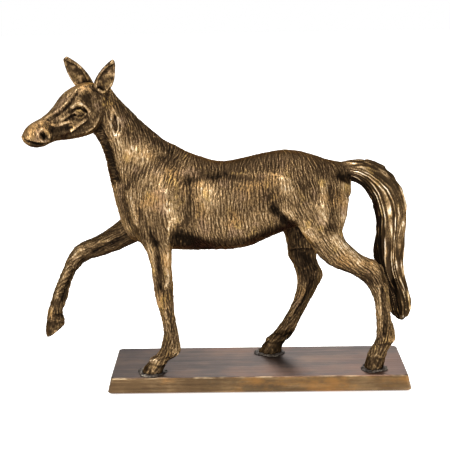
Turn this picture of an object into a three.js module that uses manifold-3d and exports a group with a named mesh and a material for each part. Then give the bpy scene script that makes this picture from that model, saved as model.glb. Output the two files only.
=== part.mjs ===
// A walking horse in cast bronze on a rectangular plinth.
// Millimetres, +Z up. The horse looks along -X with its head turned to its left, and its left side faces -Y.
// The figure is brazed up from separate castings: a hollow body in two halves, a hollow neck, and solid
// legs, head, ears and tail. Screws from below hold the three standing hooves to the plinth, which is a
// shallow tray.
import * as THREE from "three";
import { mergeVertices } from "three/addons/utils/BufferGeometryUtils.js";
import Module from "manifold-3d";

const wasm = await Module();
wasm.setup();

// Overall sizes
const figureLength = 385; // raised hoof to the back of the tail
const figureHeight = 320; // plinth top to ear tip
const figureWidthScale = 1; // how stout the figure is against its outline

// Castings and joints
const bodyWall = 4;
const neckWall = 4;
const gap = 0.3; // between pieces that touch
const splitGap = 0.3; // between the two halves of the body
const spigotRadius = 4.5;
const spigotLength = 10;
const spigotClearance = 0.4;
const collarDepth = 6; // the neck's collar inside the body
const collarWall = 2.5;
const headTurn = 32; // degrees, towards the horse's left

// Ears
const earLength = 34;
const earHalfWidth = 8.6;
const earThickness = 4.4;
const earHollow = 2.6; // how far forward the hollow lies in the ear
const earRim = 1.5;
const earRoot = 8; // sunk below the head's skin before it is cut to fit

// Plinth
const toeMargin = 30.6; // plinth edge beyond the foremost standing toe
const heelMargin = 23.6;
const plinthWidth = 91.5;
const plinthHeight = 15.8;
const plinthDraft = 3.1; // how far the sides lean out to the bottom
const plinthCorner = 4;
const plinthEdge = 1.4; // rounding of the top edge
const plinthPlate = 5;
const plinthWall = 5;

// Fixings and feet
const screwRadius = 2.5;
const screwReach = 9; // into the hoof
const screwHeadRadius = 4.4;
const screwHeadHeight = 4;
const socketRadius = 1.7;
const socketDepth = 2.4;
const holeClearance = 0.35;
const washerRadius = 6;
const washerThickness = 1.2;
const bossRadius = 8;
const bossDepth = 2;
const landRadius = 8.5;
const landInset = 14; // from the plinth's top edge to a foot's centre
const feltRadius = 7;
const feltThickness = 1.5;
const puddleSpread = 4.2; // braze around a hoof
const puddleHeight = 1.5;

// The figure's outline was drawn at these sizes; every point is scaled from them.
const drawnLength = 385;
const drawnHeight = 320;
const scaleX = figureLength / drawnLength;
const scaleZ = figureHeight / drawnHeight;

// Each row is a section: [front x, front z, back x, back z, sideways place, half width].
const trunk = [
  [-139, 168, -137, 150, 0, 8],
  [-135, 182, -131, 137, 0, 17],
  [-127, 195, -121, 131, 0, 23],
  [-112, 210, -106, 127, 0, 27],
  [-92, 223, -90, 123, 0, 29],
  [-70, 223.8, -72, 122, 0, 30],
  [-50, 216, -53, 122, 0, 31],
  [-30, 213.6, -31, 122, 0, 32],
  [-8, 218, -10, 124.6, 0, 32],
  [13, 222.3, 8, 132.6, 0, 31.5],
  [33, 224.3, 28, 141, 0, 31],
  [53, 219.8, 50, 149, 0, 30],
  [70, 213.8, 70, 156, 0, 26],
  [84, 210.5, 85, 165, 0, 20],
  [94, 200.5, 94.5, 177, 0, 11],
];
const neck = [
  [-139, 152, -58, 217, 0, 24],
  [-145, 178, -80, 229.7, 0, 21],
  [-149, 198, -93, 236.4, 0, 18],
  [-151.3, 213, -107, 248.8, -0.5, 15.8],
  [-154.6, 227, -121, 262, -1, 14.2],
  [-160.5, 240, -134, 276, -2, 13],
  [-171, 252, -145, 289, -3, 12],
];
// The head is drawn looking straight along -X and then turned.
const head = [
  [-147, 286, -147, 258, 0, 11],
  [-158, 292.5, -156, 251, 0, 14.5],
  [-172, 294.4, -161, 246, 0, 16.5],
  [-186.5, 289.8, -169, 243, 0, 17.6],
  [-197, 283, -178, 241.2, 0, 17.4],
  [-204, 274.5, -187, 240.3, 0, 15.2],
  [-209.5, 268.6, -195, 240, 0, 13],
  [-216.5, 264.6, -204, 240, 0, 11],
  [-224, 261.6, -211, 238.4, 0, 10.3],
  [-230.5, 258.5, -218, 235.6, 0, 10.8],
  [-235, 254.5, -226, 235.4, 0, 10.4],
  [-238, 249.5, -232, 237, 0, 8.4],
  [-239.2, 245.5, -236.5, 241, 0, 4],
];
const leftForeleg = [
  [-130, 192, -94, 188, -6, 10],
  [-127, 164, -87, 158, -16, 14.5],
  [-122.5, 142, -86.5, 137, -20, 13],
  [-112.5, 127, -86, 122, -21.5, 11],
  [-108, 112, -86.6, 110, -22.5, 9.5],
  [-106.2, 97, -86, 97, -23.5, 8.5],
  [-104.8, 83.5, -85.7, 82, -24.5, 8.3],
  [-102.8, 72, -85.6, 70, -25, 8.8],
  [-99.8, 62, -85, 60, -25.5, 7.4],
  [-97.6, 51, -83.6, 51, -26, 6],
  [-96.5, 42, -82, 42, -26.5, 5.8],
  [-98, 32.5, -79.8, 32, -27, 6.5],
  [-100.5, 24.5, -79.8, 23, -28, 7.2],
  [-105, 18.5, -84.5, 16.5, -28.5, 6.7],
  [-111, 13.6, -92, 13.4, -29, 7.2],
  [-116, 7.5, -95.8, 7.5, -29.5, 9.2],
  [-120, gap, -99, gap, -30, 11],
];
const rightForeleg = [
  [-112, 196, -84, 160, 7, 10],
  [-130, 166, -101, 138, 14, 13.5],
  [-143.6, 148.4, -121, 127.6, 18, 13],
  [-157.7, 138.2, -142, 117.6, 20, 11.5],
  [-171.3, 130.6, -158, 112, 21.5, 10],
  [-182, 126.3, -172.5, 107.8, 22.5, 9.2],
  [-190.5, 121.2, -180.5, 103.5, 23, 9],
  [-196.6, 112.8, -186.8, 98, 23.5, 8.5],
  [-201.4, 103, -192.6, 90, 24, 7.3],
  [-206.3, 91.8, -196.4, 81, 24, 6.4],
  [-211.3, 81.6, -198.8, 73, 24, 6.1],
  [-215.6, 71.6, -200.8, 65, 24, 6.4],
  [-219, 60.6, -203.8, 57, 24, 7],
  [-221.5, 52, -207.4, 51, 24, 6.7],
  [-223.8, 43.5, -205.6, 43, 24, 7.6],
  [-225.6, 33, -205, 38, 24, 9.4],
  [-225.4, 20.3, -205.6, 34.3, 24, 10.3],
];
const leftHindLeg = [
  [34, 198, 80, 202, -6, 11],
  [33, 172, 92.3, 176, -16, 18],
  [42, 146, 88.4, 153, -20, 18],
  [52, 132, 84, 145, -22, 16],
  [60, 120, 88, 134, -23.5, 13.5],
  [70, 110.5, 96, 126, -24.5, 11.5],
  [83, 105, 104, 119.5, -25, 9.6],
  [96, 99.5, 116, 114.2, -25, 8.6],
  [105, 93, 124.5, 109, -25, 8.3],
  [112, 84.5, 127.8, 100, -25, 8],
  [116, 76, 130.3, 89, -25, 7],
  [118.7, 65, 132.6, 73, -25, 6.1],
  [119.3, 52, 134.6, 54, -25, 5.8],
  [119.7, 40, 138.3, 41, -25, 6.6],
  [119.5, 31.5, 139.5, 33, -25, 7.2],
  [116, 25.5, 135, 26.5, -25, 6.8],
  [112, 17.5, 131, 18, -25, 6.9],
  [109.5, 9.5, 129.3, 9.5, -25, 8.8],
  [108, gap, 127, gap, -25, 10.6],
];
const rightHindLeg = [
  [24, 198, 76, 198, 6, 11],
  [17, 170, 84, 170, 16, 18],
  [20, 146, 76, 144, 20, 17],
  [29, 130, 66, 126, 22, 13.6],
  [31, 118, 62.5, 116, 23.5, 11.5],
  [32.5, 107, 62.3, 104.5, 24, 10],
  [37.5, 98, 64.6, 96.5, 24.5, 9.3],
  [41.5, 88, 69.6, 88, 25, 8.6],
  [42.5, 79, 67.6, 80.5, 25, 8],
  [41, 69, 62.3, 71.5, 25, 6.9],
  [37.8, 58, 56.5, 60.5, 25.5, 6],
  [33.5, 48, 50.7, 49, 26, 5.8],
  [27.7, 38.5, 45.4, 38.5, 26, 6.2],
  [21.5, 28, 40.2, 28.5, 26.5, 7.2],
  [16, 21.8, 37, 19.8, 27, 7],
  [9.5, 16.2, 30, 13.4, 27, 7.2],
  [5, 8.5, 26.6, 8.5, 27, 9.2],
  [0.5, gap, 25, gap, 27, 10.8],
];
const tail = [
  [78, 210, 80, 193, 0, 6.5],
  [91.5, 212.6, 94, 191.5, 0, 7.6],
  [103, 213.3, 101, 189, 0, 9],
  [114, 211.9, 107, 184.6, 0, 10],
  [126.8, 206.6, 111.6, 178, 0, 10.5],
  [138, 196, 116, 170.5, 0, 11],
  [147, 182.7, 119.4, 160, 0.5, 11.5],
  [152, 165.5, 121.3, 148, 1, 12],
  [152.2, 149, 121, 135, 1, 12],
  [150.6, 133, 119, 123, 1, 11.5],
  [149.4, 117, 119.5, 110, 1, 11],
  [149.3, 103, 123.5, 97, 1, 10.5],
  [151.2, 91, 128.5, 85, 1, 10],
  [155.3, 78, 132.5, 73, 1, 9.5],
  [158.6, 65, 134.5, 61, 1, 8.4],
  [158.4, 55, 137.5, 51, 1, 6.2],
  [154.5, 46.8, 144, 45.5, 1, 3.4],
  [150.5, 42.6, 147.5, 42.8, 1, 1.2],
];

// Where the castings meet: a point on the limb's middle, the way from the limb into the body, and the spigot.
const joints = {
  leftForeleg: { at: [-97.5, -22, 117], into: [0, 0, 1] },
  rightForeleg: { at: [-150, 20, 127.5], into: [0.88, -0.05, 0.47] },
  leftHindLeg: { at: [79, -24, 123], into: [-0.72, 0.05, 0.69] },
  rightHindLeg: { at: [46.5, 23.5, 115], into: [0, 0, 1] },
  neck: { at: [-112, 0, 205.5], into: [0.572, 0, -0.82] },
  head: { at: [-154.5, -2, 265], into: [0.86, 0.34, -0.37] },
};
const headPivot = new THREE.Vector3(-152 * scaleX, 0, 268 * scaleZ);
const far = 600; // a cutting block's side

const bronze = { color: 0x7a5a30, roughness: 0.38, metalness: 0.95 };
const darkBronze = { color: 0x5f4a30, roughness: 0.45, metalness: 0.9 };
const braze = { color: 0x8d8468, roughness: 0.55, metalness: 0.8 };
const steel = { color: 0x8b8f94, roughness: 0.35, metalness: 1 };
const felt = { color: 0x2c3a30, roughness: 1, metalness: 0 };

// Solids

function toSolid(geometry) {
  const bare = geometry.clone();
  bare.deleteAttribute("normal");
  bare.deleteAttribute("uv");
  const merged = mergeVertices(bare, 1e-4);
  return new wasm.Manifold(
    new wasm.Mesh({
      numProp: 3,
      vertProperties: new Float32Array(merged.attributes.position.array),
      triVerts: new Uint32Array(merged.index.array),
    }),
  );
}

function toGeometry(solid) {
  const { vertProperties, triVerts } = solid.getMesh();
  const geometry = new THREE.BufferGeometry();
  geometry.setAttribute("position", new THREE.BufferAttribute(new Float32Array(vertProperties), 3));
  geometry.setIndex(new THREE.BufferAttribute(new Uint32Array(triVerts), 1));
  geometry.computeVertexNormals();
  return geometry;
}

// A closed skin over rings of points, each ring with the same number of points, with a flat face at either end.
function skin(rings) {
  const sides = rings[0].length;
  const positions = rings.flat().flatMap((p) => [p.x, p.y, p.z]);
  const index = [];
  for (let i = 0; i + 1 < rings.length; i++)
    for (let k = 0; k < sides; k++) {
      const next = (k + 1) % sides;
      const [a, b, c, d] = [i * sides + k, i * sides + next, (i + 1) * sides + next, (i + 1) * sides + k];
      index.push(a, b, c, a, c, d);
    }
  for (const [ring, turned] of [[0, true], [rings.length - 1, false]]) {
    const middle = rings[ring].reduce((sum, p) => sum.add(p), new THREE.Vector3()).divideScalar(sides);
    const centre = positions.length / 3;
    positions.push(middle.x, middle.y, middle.z);
    for (let k = 0; k < sides; k++) {
      const [a, b] = [ring * sides + k, ring * sides + ((k + 1) % sides)];
      index.push(centre, ...(turned ? [b, a] : [a, b]));
    }
  }
  let volume = 0;
  const corner = (i) => new THREE.Vector3().fromArray(positions, 3 * i);
  for (let i = 0; i < index.length; i += 3)
    volume += corner(index[i]).dot(corner(index[i + 1]).cross(corner(index[i + 2])));
  if (volume < 0) index.reverse();
  const geometry = new THREE.BufferGeometry();
  geometry.setAttribute("position", new THREE.Float32BufferAttribute(positions, 3));
  geometry.setIndex(index);
  return geometry;
}

// A copy of an end ring, moved `distance` away from the ring next to it.
function further(ring, next, distance) {
  const centre = (points) =>
    points.reduce((sum, p) => sum.add(p), new THREE.Vector3()).divideScalar(points.length);
  const away = centre(ring).sub(centre(next)).setLength(distance);
  return ring.map((p) => p.clone().add(away));
}

// A smooth body through the sections of an outline. grow moves the skin outwards, or inwards for a hollow;
// taper makes the front or top edge of each section narrower than the other; start and end shorten it.
function loft(sections, { sides = 14, steps = 1, grow = 0, taper = 0, start = 0, end = 1 } = {}) {
  const curve = (pick) =>
    new THREE.CatmullRomCurve3(sections.map((row) => new THREE.Vector3(...pick(row))), false, "centripetal");
  const front = curve(([x, z]) => [x * scaleX, 0, z * scaleZ]);
  const back = curve(([, , x, z]) => [x * scaleX, 0, z * scaleZ]);
  const across = curve((row) => [row[4] * figureWidthScale, row[5] * figureWidthScale, 0]);
  const count = (sections.length - 1) * steps;
  const rings = [];
  for (let i = 0; i <= count; i++) {
    const t = start + ((end - start) * i) / count;
    const [f, b, a] = [front.getPoint(t), back.getPoint(t), across.getPoint(t)];
    const middle = f.clone().add(b).multiplyScalar(0.5);
    const reach = f.clone().sub(b).multiplyScalar(0.5);
    reach.setLength(Math.max(reach.length() + grow, 0.4));
    const half = Math.max(a.y + grow, 0.4);
    const ring = [];
    for (let k = 0; k < sides; k++) {
      const angle = (2 * Math.PI * k) / sides;
      const point = middle.clone().addScaledVector(reach, Math.cos(angle));
      point.y = a.x + half * Math.sin(angle) * (1 - taper * Math.cos(angle));
      ring.push(point);
    }
    rings.push(ring);
  }
  if (grow > 0) {
    rings.unshift(further(rings[0], rings[1], grow));
    rings.push(further(rings.at(-1), rings.at(-2), grow));
  }
  return toSolid(skin(rings));
}

const place = ([x, y, z]) => new THREE.Vector3(x * scaleX, y * figureWidthScale, z * scaleZ);
const way = (v) => new THREE.Vector3(...v).normalize();

// A large block that fills everything beyond a plane through `point`, on the side that `direction` points to.
function beyond(point, direction, offset = 0) {
  const block = new THREE.BoxGeometry(far, far, far);
  block.translate(0, 0, far / 2 + offset);
  block.applyQuaternion(new THREE.Quaternion().setFromUnitVectors(new THREE.Vector3(0, 0, 1), direction));
  block.translate(point.x, point.y, point.z);
  return toSolid(block);
}

// A round bar from `point` along `direction`.
function bar(point, direction, from, to, radius, sides = 16) {
  const rod = new THREE.CylinderGeometry(radius, radius, to - from, sides);
  rod.rotateX(Math.PI / 2);
  rod.translate(0, 0, (from + to) / 2);
  rod.applyQuaternion(new THREE.Quaternion().setFromUnitVectors(new THREE.Vector3(0, 0, 1), direction));
  rod.translate(point.x, point.y, point.z);
  return toSolid(rod);
}

function turnHead(solid) {
  const geometry = toGeometry(solid);
  geometry.translate(-headPivot.x, -headPivot.y, -headPivot.z);
  geometry.rotateZ(THREE.MathUtils.degToRad(headTurn));
  geometry.translate(headPivot.x, headPivot.y, headPivot.z);
  return toSolid(geometry);
}

// A limb ends at its joint and has a spigot that stands into the body.
function cutLimb(limb, { at, into }) {
  const [point, direction] = [place(at), way(into)];
  return limb
    .subtract(beyond(point, direction, -gap))
    .add(bar(point, direction, -4, spigotLength, spigotRadius));
}
const stub = (limb, { at, into }) => limb.intersect(beyond(place(at), way(into)));
const spigotHole = ({ at, into }) =>
  bar(place(at), way(into), -1, spigotLength + spigotClearance, spigotRadius + spigotClearance);

// Head, ears and neck

const headTaper = 0.12;
const headLoft = turnHead(loft(head, { sides: 18, steps: 2, taper: headTaper }));
const headGrown = turnHead(loft(head, { sides: 18, steps: 2, taper: headTaper, grow: gap }));
const neckPlane = { point: place(joints.neck.at), into: way(joints.neck.into) };
const headPlane = { point: place(joints.head.at), into: way(joints.head.into) };
const neckLoft = loft(neck, { sides: 18, steps: 2 });
const neckHollow = loft(neck, { sides: 14, grow: -neckWall, end: 0.8 });

function makeNeck() {
  const { point, into } = neckPlane;
  const fits = bodyWall + spigotClearance;
  const slab = (solid, from, to) =>
    solid.intersect(beyond(point, into, from)).subtract(beyond(point, into, to));
  const bore = loft(neck, { sides: 14, grow: -fits - collarWall, end: 0.8 });
  const collar = slab(loft(neck, { sides: 14, grow: -fits }), -collarWall, collarDepth);
  const collarRoot = slab(neckLoft, -collarWall - gap, -gap);
  return neckLoft
    .subtract(beyond(point, into, -gap))
    .subtract(neckHollow)
    .add(collarRoot.add(collar).subtract(bore))
    .subtract(beyond(headPlane.point, headPlane.into.clone().negate()))
    .subtract(spigotHole(joints.head));
}

function makeHead() {
  return cutLimb(headLoft, joints.head);
}

// An ear stands on the head at `root`, points along `direction` and opens towards `facing`.
function makeEar(root, direction, facing) {
  const widths = [0.7, 0.86, 0.97, 1, 0.94, 0.8, 0.56, 0.24];
  const leaf = (grow, shift, from, to) =>
    skin(
      widths.map((share, i) => {
        const along = from + ((to - from) * i) / (widths.length - 1);
        const [half, thick] = [share * earHalfWidth + grow, (0.35 + 0.65 * share) * earThickness + grow / 2];
        return Array.from({ length: 14 }, (_, k) => {
          const angle = (2 * Math.PI * k) / 14;
          const y = Math.max(thick, 0.3) * Math.sin(angle) + shift;
          return new THREE.Vector3(Math.max(half, 0.25) * Math.cos(angle), y, along);
        });
      }),
    );
  const up = way(direction);
  const out = way(facing);
  out.addScaledVector(up, -out.dot(up)).normalize();
  const basis = new THREE.Matrix4().makeBasis(new THREE.Vector3().crossVectors(out, up), out, up);
  const put = (geometry) => turnHead(toSolid(geometry.applyMatrix4(basis.clone().setPosition(place(root)))));
  return put(leaf(0, 0, -earRoot, earLength))
    .subtract(put(leaf(-earRim, earHollow, earRim, earLength - 2 * earRim)))
    .subtract(headGrown);
}

// Body, legs and tail

const trunkTaper = 0.18;

const legs = {
  leftForeleg: loft(leftForeleg),
  rightForeleg: loft(rightForeleg),
  leftHindLeg: loft(leftHindLeg),
  rightHindLeg: loft(rightHindLeg),
};

function makeBody() {
  const neckStump = neckLoft.intersect(beyond(neckPlane.point, neckPlane.into));
  let body = loft(trunk, { sides: 22, steps: 2, taper: trunkTaper }).add(neckStump);
  for (const [name, leg] of Object.entries(legs)) body = body.add(stub(leg, joints[name]));
  body = body
    .intersect(beyond(neckPlane.point, neckPlane.into))
    .subtract(loft(trunk, { sides: 16, taper: trunkTaper, grow: -bodyWall, start: 0.04, end: 0.93 }))
    .subtract(loft(neck, { sides: 14, grow: -bodyWall, end: 0.8 }));
  for (const name of Object.keys(legs)) body = body.subtract(spigotHole(joints[name]));
  return body;
}

const body = makeBody();
const half = (side) =>
  body.intersect(beyond(new THREE.Vector3(), new THREE.Vector3(0, side, 0), splitGap / 2));

function makeTail() {
  const rump = loft(trunk, { sides: 22, steps: 2, taper: trunkTaper, grow: gap });
  return loft(tail)
    .subtract(rump)
    .subtract(loft(leftHindLeg, { grow: gap }))
    .subtract(loft(rightHindLeg, { grow: gap }));
}

// Hooves, plinth and fixings

function hoofOf(sections) {
  const [frontX, , backX, , side, width] = sections[sections.length - 1];
  const [upperFront, , upperBack] = sections[sections.length - 2];
  const middle = (frontX + backX) / 2;
  return {
    x: ((middle + (upperFront + upperBack) / 2) / 2) * scaleX,
    y: side * figureWidthScale,
    soleX: middle * scaleX,
    halfLength: ((backX - frontX) / 2) * scaleX,
    halfWidth: width * figureWidthScale,
    toe: frontX * scaleX,
    heel: backX * scaleX,
  };
}
const hooves = {
  left_fore: hoofOf(leftForeleg),
  left_hind: hoofOf(leftHindLeg),
  right_hind: hoofOf(rightHindLeg),
};
const plinthFront = Math.min(...Object.values(hooves).map((h) => h.toe)) - toeMargin * scaleX;
const plinthBack = Math.max(...Object.values(hooves).map((h) => h.heel)) + heelMargin * scaleX;
const plinthLength = plinthBack - plinthFront;
const plinthMiddle = (plinthFront + plinthBack) / 2;
const underside = -plinthPlate;
const bossFace = underside - bossDepth;
const down = new THREE.Vector3(0, 0, -1);

// A rectangle with round corners at height z, `inset` inside the plinth's top outline.
function plinthRing(inset, z, corner) {
  const [halfX, halfY] = [plinthLength / 2 - inset, plinthWidth / 2 - inset];
  const shape = new THREE.Shape();
  shape.moveTo(halfX, -halfY + corner);
  shape.lineTo(halfX, halfY - corner);
  shape.absarc(halfX - corner, halfY - corner, corner, 0, Math.PI / 2);
  shape.lineTo(-halfX + corner, halfY);
  shape.absarc(-halfX + corner, halfY - corner, corner, Math.PI / 2, Math.PI);
  shape.lineTo(-halfX, -halfY + corner);
  shape.absarc(-halfX + corner, -halfY + corner, corner, Math.PI, 1.5 * Math.PI);
  shape.lineTo(halfX - corner, -halfY);
  shape.absarc(halfX - corner, -halfY + corner, corner, 1.5 * Math.PI, 2 * Math.PI);
  const points = shape.getPoints(4).filter((p, i, all) => i === 0 || p.distanceTo(all[i - 1]) > 1e-6);
  if (points[0].distanceTo(points[points.length - 1]) < 1e-6) points.pop();
  return points.map((p) => new THREE.Vector3(p.x + plinthMiddle, p.y, z));
}

const feet = [-1, 1].flatMap((alongX) =>
  [-1, 1].map((alongY) => ({
    name: (alongY < 0 ? "left_" : "right_") + (alongX < 0 ? "front" : "rear"),
    x: plinthMiddle + alongX * (plinthLength / 2 - landInset),
    y: alongY * (plinthWidth / 2 - landInset),
  })),
);

function makePlinth() {
  const outer = toSolid(
    skin([
      plinthRing(plinthEdge, 0, plinthCorner),
      plinthRing(plinthEdge * 0.3, -plinthEdge * 0.4, plinthCorner),
      plinthRing(0, -plinthEdge, plinthCorner),
      plinthRing(-plinthDraft, -plinthHeight + plinthEdge, plinthCorner),
      plinthRing(plinthEdge - plinthDraft, -plinthHeight, plinthCorner),
    ]),
  );
  let room = toSolid(
    skin([
      plinthRing(plinthWall, underside, plinthCorner),
      plinthRing(plinthWall - plinthDraft, -plinthHeight - 1, plinthCorner),
    ]),
  );
  for (const { x, y } of feet)
    room = room.subtract(bar(new THREE.Vector3(x, y, 0), down, 0, plinthHeight, landRadius));
  for (const { x, y } of Object.values(hooves))
    room = room.subtract(bar(new THREE.Vector3(x, y, 0), down, 0, -bossFace, bossRadius));
  let plinth = outer.subtract(room);
  for (const { x, y } of Object.values(hooves)) {
    const hole = bar(new THREE.Vector3(x, y, 0), down, -1, plinthHeight, screwRadius + holeClearance);
    plinth = plinth.subtract(hole);
  }
  return plinth;
}

// Each standing leg has a hole in its sole for the screw.
function drilled(leg, { x, y }) {
  return leg.subtract(
    bar(new THREE.Vector3(x, y, 0), down, -screwReach - gap - 1, 1, screwRadius + holeClearance),
  );
}

const headFace = bossFace - gap - washerThickness - gap;

function makeScrew({ x, y }) {
  const at = new THREE.Vector3(x, y, 0);
  return bar(at, down, -screwReach, -headFace + 1, screwRadius)
    .add(bar(at, down, -headFace, -headFace + screwHeadHeight, screwHeadRadius, 20))
    .subtract(bar(at, down, -headFace + screwHeadHeight - socketDepth, plinthHeight, socketRadius, 6));
}

function makeWasher({ x, y }) {
  const at = new THREE.Vector3(x, y, 0);
  const top = -bossFace + gap;
  return bar(at, down, top, top + washerThickness, washerRadius, 20).subtract(
    bar(at, down, top - 1, top + washerThickness + 1, screwRadius + holeClearance),
  );
}

// Braze that ran out around a hoof: a low puddle with a wandering edge.
function makePuddle({ soleX, y, halfLength, halfWidth }, sections, phase) {
  const ring = (spread, z) =>
    Array.from({ length: 24 }, (_, k) => {
      const angle = (2 * Math.PI * k) / 24;
      const wander = 1 + 0.28 * Math.sin(3 * angle + phase) + 0.16 * Math.sin(5 * angle + 2 * phase);
      const out = spread * wander;
      return new THREE.Vector3(
        soleX + (halfLength + out) * Math.cos(angle),
        y + (halfWidth + out) * Math.sin(angle),
        z,
      );
    });
  const low = gap;
  return toSolid(
    skin([
      ring(puddleSpread, low),
      ring(puddleSpread * 0.94, low + puddleHeight * 0.35),
      ring(puddleSpread * 0.62, low + puddleHeight * 0.75),
      ring(puddleSpread * 0.4, low + puddleHeight),
    ]),
  ).subtract(loft(sections, { grow: gap }));
}

function makeFoot({ x, y }) {
  const top = plinthHeight + gap;
  return bar(new THREE.Vector3(x, y, 0), down, top, top + feltThickness, feltRadius, 20);
}

// The statue, with its origin at the middle of what it stands on

const statue = new THREE.Group();
function addPiece(name, solid, look) {
  const mesh = new THREE.Mesh(toGeometry(solid), new THREE.MeshStandardMaterial(look));
  mesh.name = name;
  statue.add(mesh);
}

addPiece("plinth", makePlinth(), darkBronze);
addPiece("body_left_half", half(-1), bronze);
addPiece("body_right_half", half(1), bronze);
addPiece("neck", makeNeck(), bronze);
addPiece("head", makeHead(), bronze);
addPiece("left_ear", makeEar([-159.5, -10, 287.5], [0.28, -0.42, 0.84], [-0.35, -0.93, 0]), bronze);
addPiece("right_ear", makeEar([-165.5, 9, 290.5], [-0.52, 0.28, 0.84], [-0.6, -0.8, 0]), bronze);
addPiece("left_foreleg", drilled(cutLimb(legs.leftForeleg, joints.leftForeleg), hooves.left_fore), bronze);
addPiece("right_foreleg", cutLimb(legs.rightForeleg, joints.rightForeleg), bronze);
addPiece("left_hind_leg", drilled(cutLimb(legs.leftHindLeg, joints.leftHindLeg), hooves.left_hind), bronze);
addPiece("right_hind_leg", drilled(cutLimb(legs.rightHindLeg, joints.rightHindLeg), hooves.right_hind), bronze);
addPiece("tail", makeTail(), bronze);
addPiece("left_fore_braze", makePuddle(hooves.left_fore, leftForeleg, 0.4), braze);
addPiece("left_hind_braze", makePuddle(hooves.left_hind, leftHindLeg, 2.1), braze);
addPiece("right_hind_braze", makePuddle(hooves.right_hind, rightHindLeg, 4.3), braze);
for (const [name, hoof] of Object.entries(hooves)) {
  addPiece(name + "_screw", makeScrew(hoof), steel);
  addPiece(name + "_washer", makeWasher(hoof), steel);
}
for (const foot of feet) addPiece(foot.name + "_felt_foot", makeFoot(foot), felt);

const box = new THREE.Box3().setFromObject(statue);
statue.position.set(-(box.min.x + box.max.x) / 2, -(box.min.y + box.max.y) / 2, -box.min.z);

export default statue;
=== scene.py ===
import math

import bmesh
import bpy
import numpy as np
import openvdb
from mathutils import Matrix, Vector
from mathutils.geometry import delaunay_2d_cdt


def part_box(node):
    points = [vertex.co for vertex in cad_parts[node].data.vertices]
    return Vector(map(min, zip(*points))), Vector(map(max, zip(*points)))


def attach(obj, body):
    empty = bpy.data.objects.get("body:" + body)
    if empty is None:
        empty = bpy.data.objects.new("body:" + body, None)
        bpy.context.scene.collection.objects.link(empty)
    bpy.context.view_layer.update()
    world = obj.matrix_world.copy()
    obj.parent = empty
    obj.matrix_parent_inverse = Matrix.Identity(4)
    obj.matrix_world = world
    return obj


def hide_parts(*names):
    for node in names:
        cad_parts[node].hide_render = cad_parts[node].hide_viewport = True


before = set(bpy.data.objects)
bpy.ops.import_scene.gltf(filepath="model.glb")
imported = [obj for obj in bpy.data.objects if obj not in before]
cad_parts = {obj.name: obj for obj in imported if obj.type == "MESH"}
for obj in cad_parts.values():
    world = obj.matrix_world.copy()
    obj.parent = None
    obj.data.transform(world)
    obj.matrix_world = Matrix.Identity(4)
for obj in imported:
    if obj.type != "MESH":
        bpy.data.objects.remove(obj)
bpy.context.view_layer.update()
plinthLow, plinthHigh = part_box("plinth")
# all the sculpting is done in millimetres from the middle of the plinth's top face
deck = np.array([(plinthLow.x + plinthHigh.x) / 2, (plinthLow.y + plinthHigh.y) / 2, plinthHigh.z])
print("frame loaded,", len(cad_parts), "nodes")


def nodesEnding(word):
    return [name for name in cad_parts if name.endswith(word)]


def toDeck(metres):
    return (metres - deck) * 1000


def toFrame(millimetres):
    return millimetres / 1000 + deck


# ---- camera, floor and lights

view = {
    "place": (-19.4, -1114.7, 405.6),
    "turn": 0.012,  # radians to the left
    "tip": 0.228,  # radians down
    "roll": -0.016,
    "lens": 89.84,
}


def makeCamera(settings):
    turn, tip, roll = settings["turn"], settings["tip"], settings["roll"]
    ahead = Vector((-math.sin(turn) * math.cos(tip), math.cos(turn) * math.cos(tip), -math.sin(tip)))
    level = Vector((math.cos(turn), math.sin(turn), 0))
    upright = level.cross(ahead)
    right = level * math.cos(roll) + upright * math.sin(roll)
    up = upright * math.cos(roll) - level * math.sin(roll)
    camera = bpy.data.objects.new("camera", bpy.data.cameras.new("camera"))
    camera.data.lens = settings["lens"]
    camera.data.sensor_width = 36
    camera.data.clip_end = 50
    camera.matrix_world = Matrix((right, up, -ahead)).transposed().to_4x4()
    camera.location = Vector(toFrame(np.array(settings["place"])))
    bpy.context.scene.collection.objects.link(camera)
    bpy.context.scene.camera = camera


studio = {
    "floorSize": 12,
    "floorColour": (0.93, 0.93, 0.925, 1),
    "floorRoughness": 0.9,
    "skyTop": (1.0, 1.0, 1.0, 1),
    "skySide": (0.42, 0.42, 0.42, 1),
    "skyStart": 0.1,  # height at which the sky begins to get lighter
    "skyStrength": 0.72,
    "floorGlow": 0.75,
    "lamps": {  # place, aim, size, power
        "key": ((-0.9, -1.3, 1.3), (0, 0, 0.15), 0.7, 30),
        "over": ((0.15, -0.2, 1.7), (0, 0, 0.15), 0.8, 19),
        "side": ((1.5, -0.9, 0.7), (0.05, 0, 0.15), 0.5, 7),
        "back": ((0.2, 1.6, 1.2), (0, 0, 0.15), 1.0, 9),
    },
}


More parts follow.
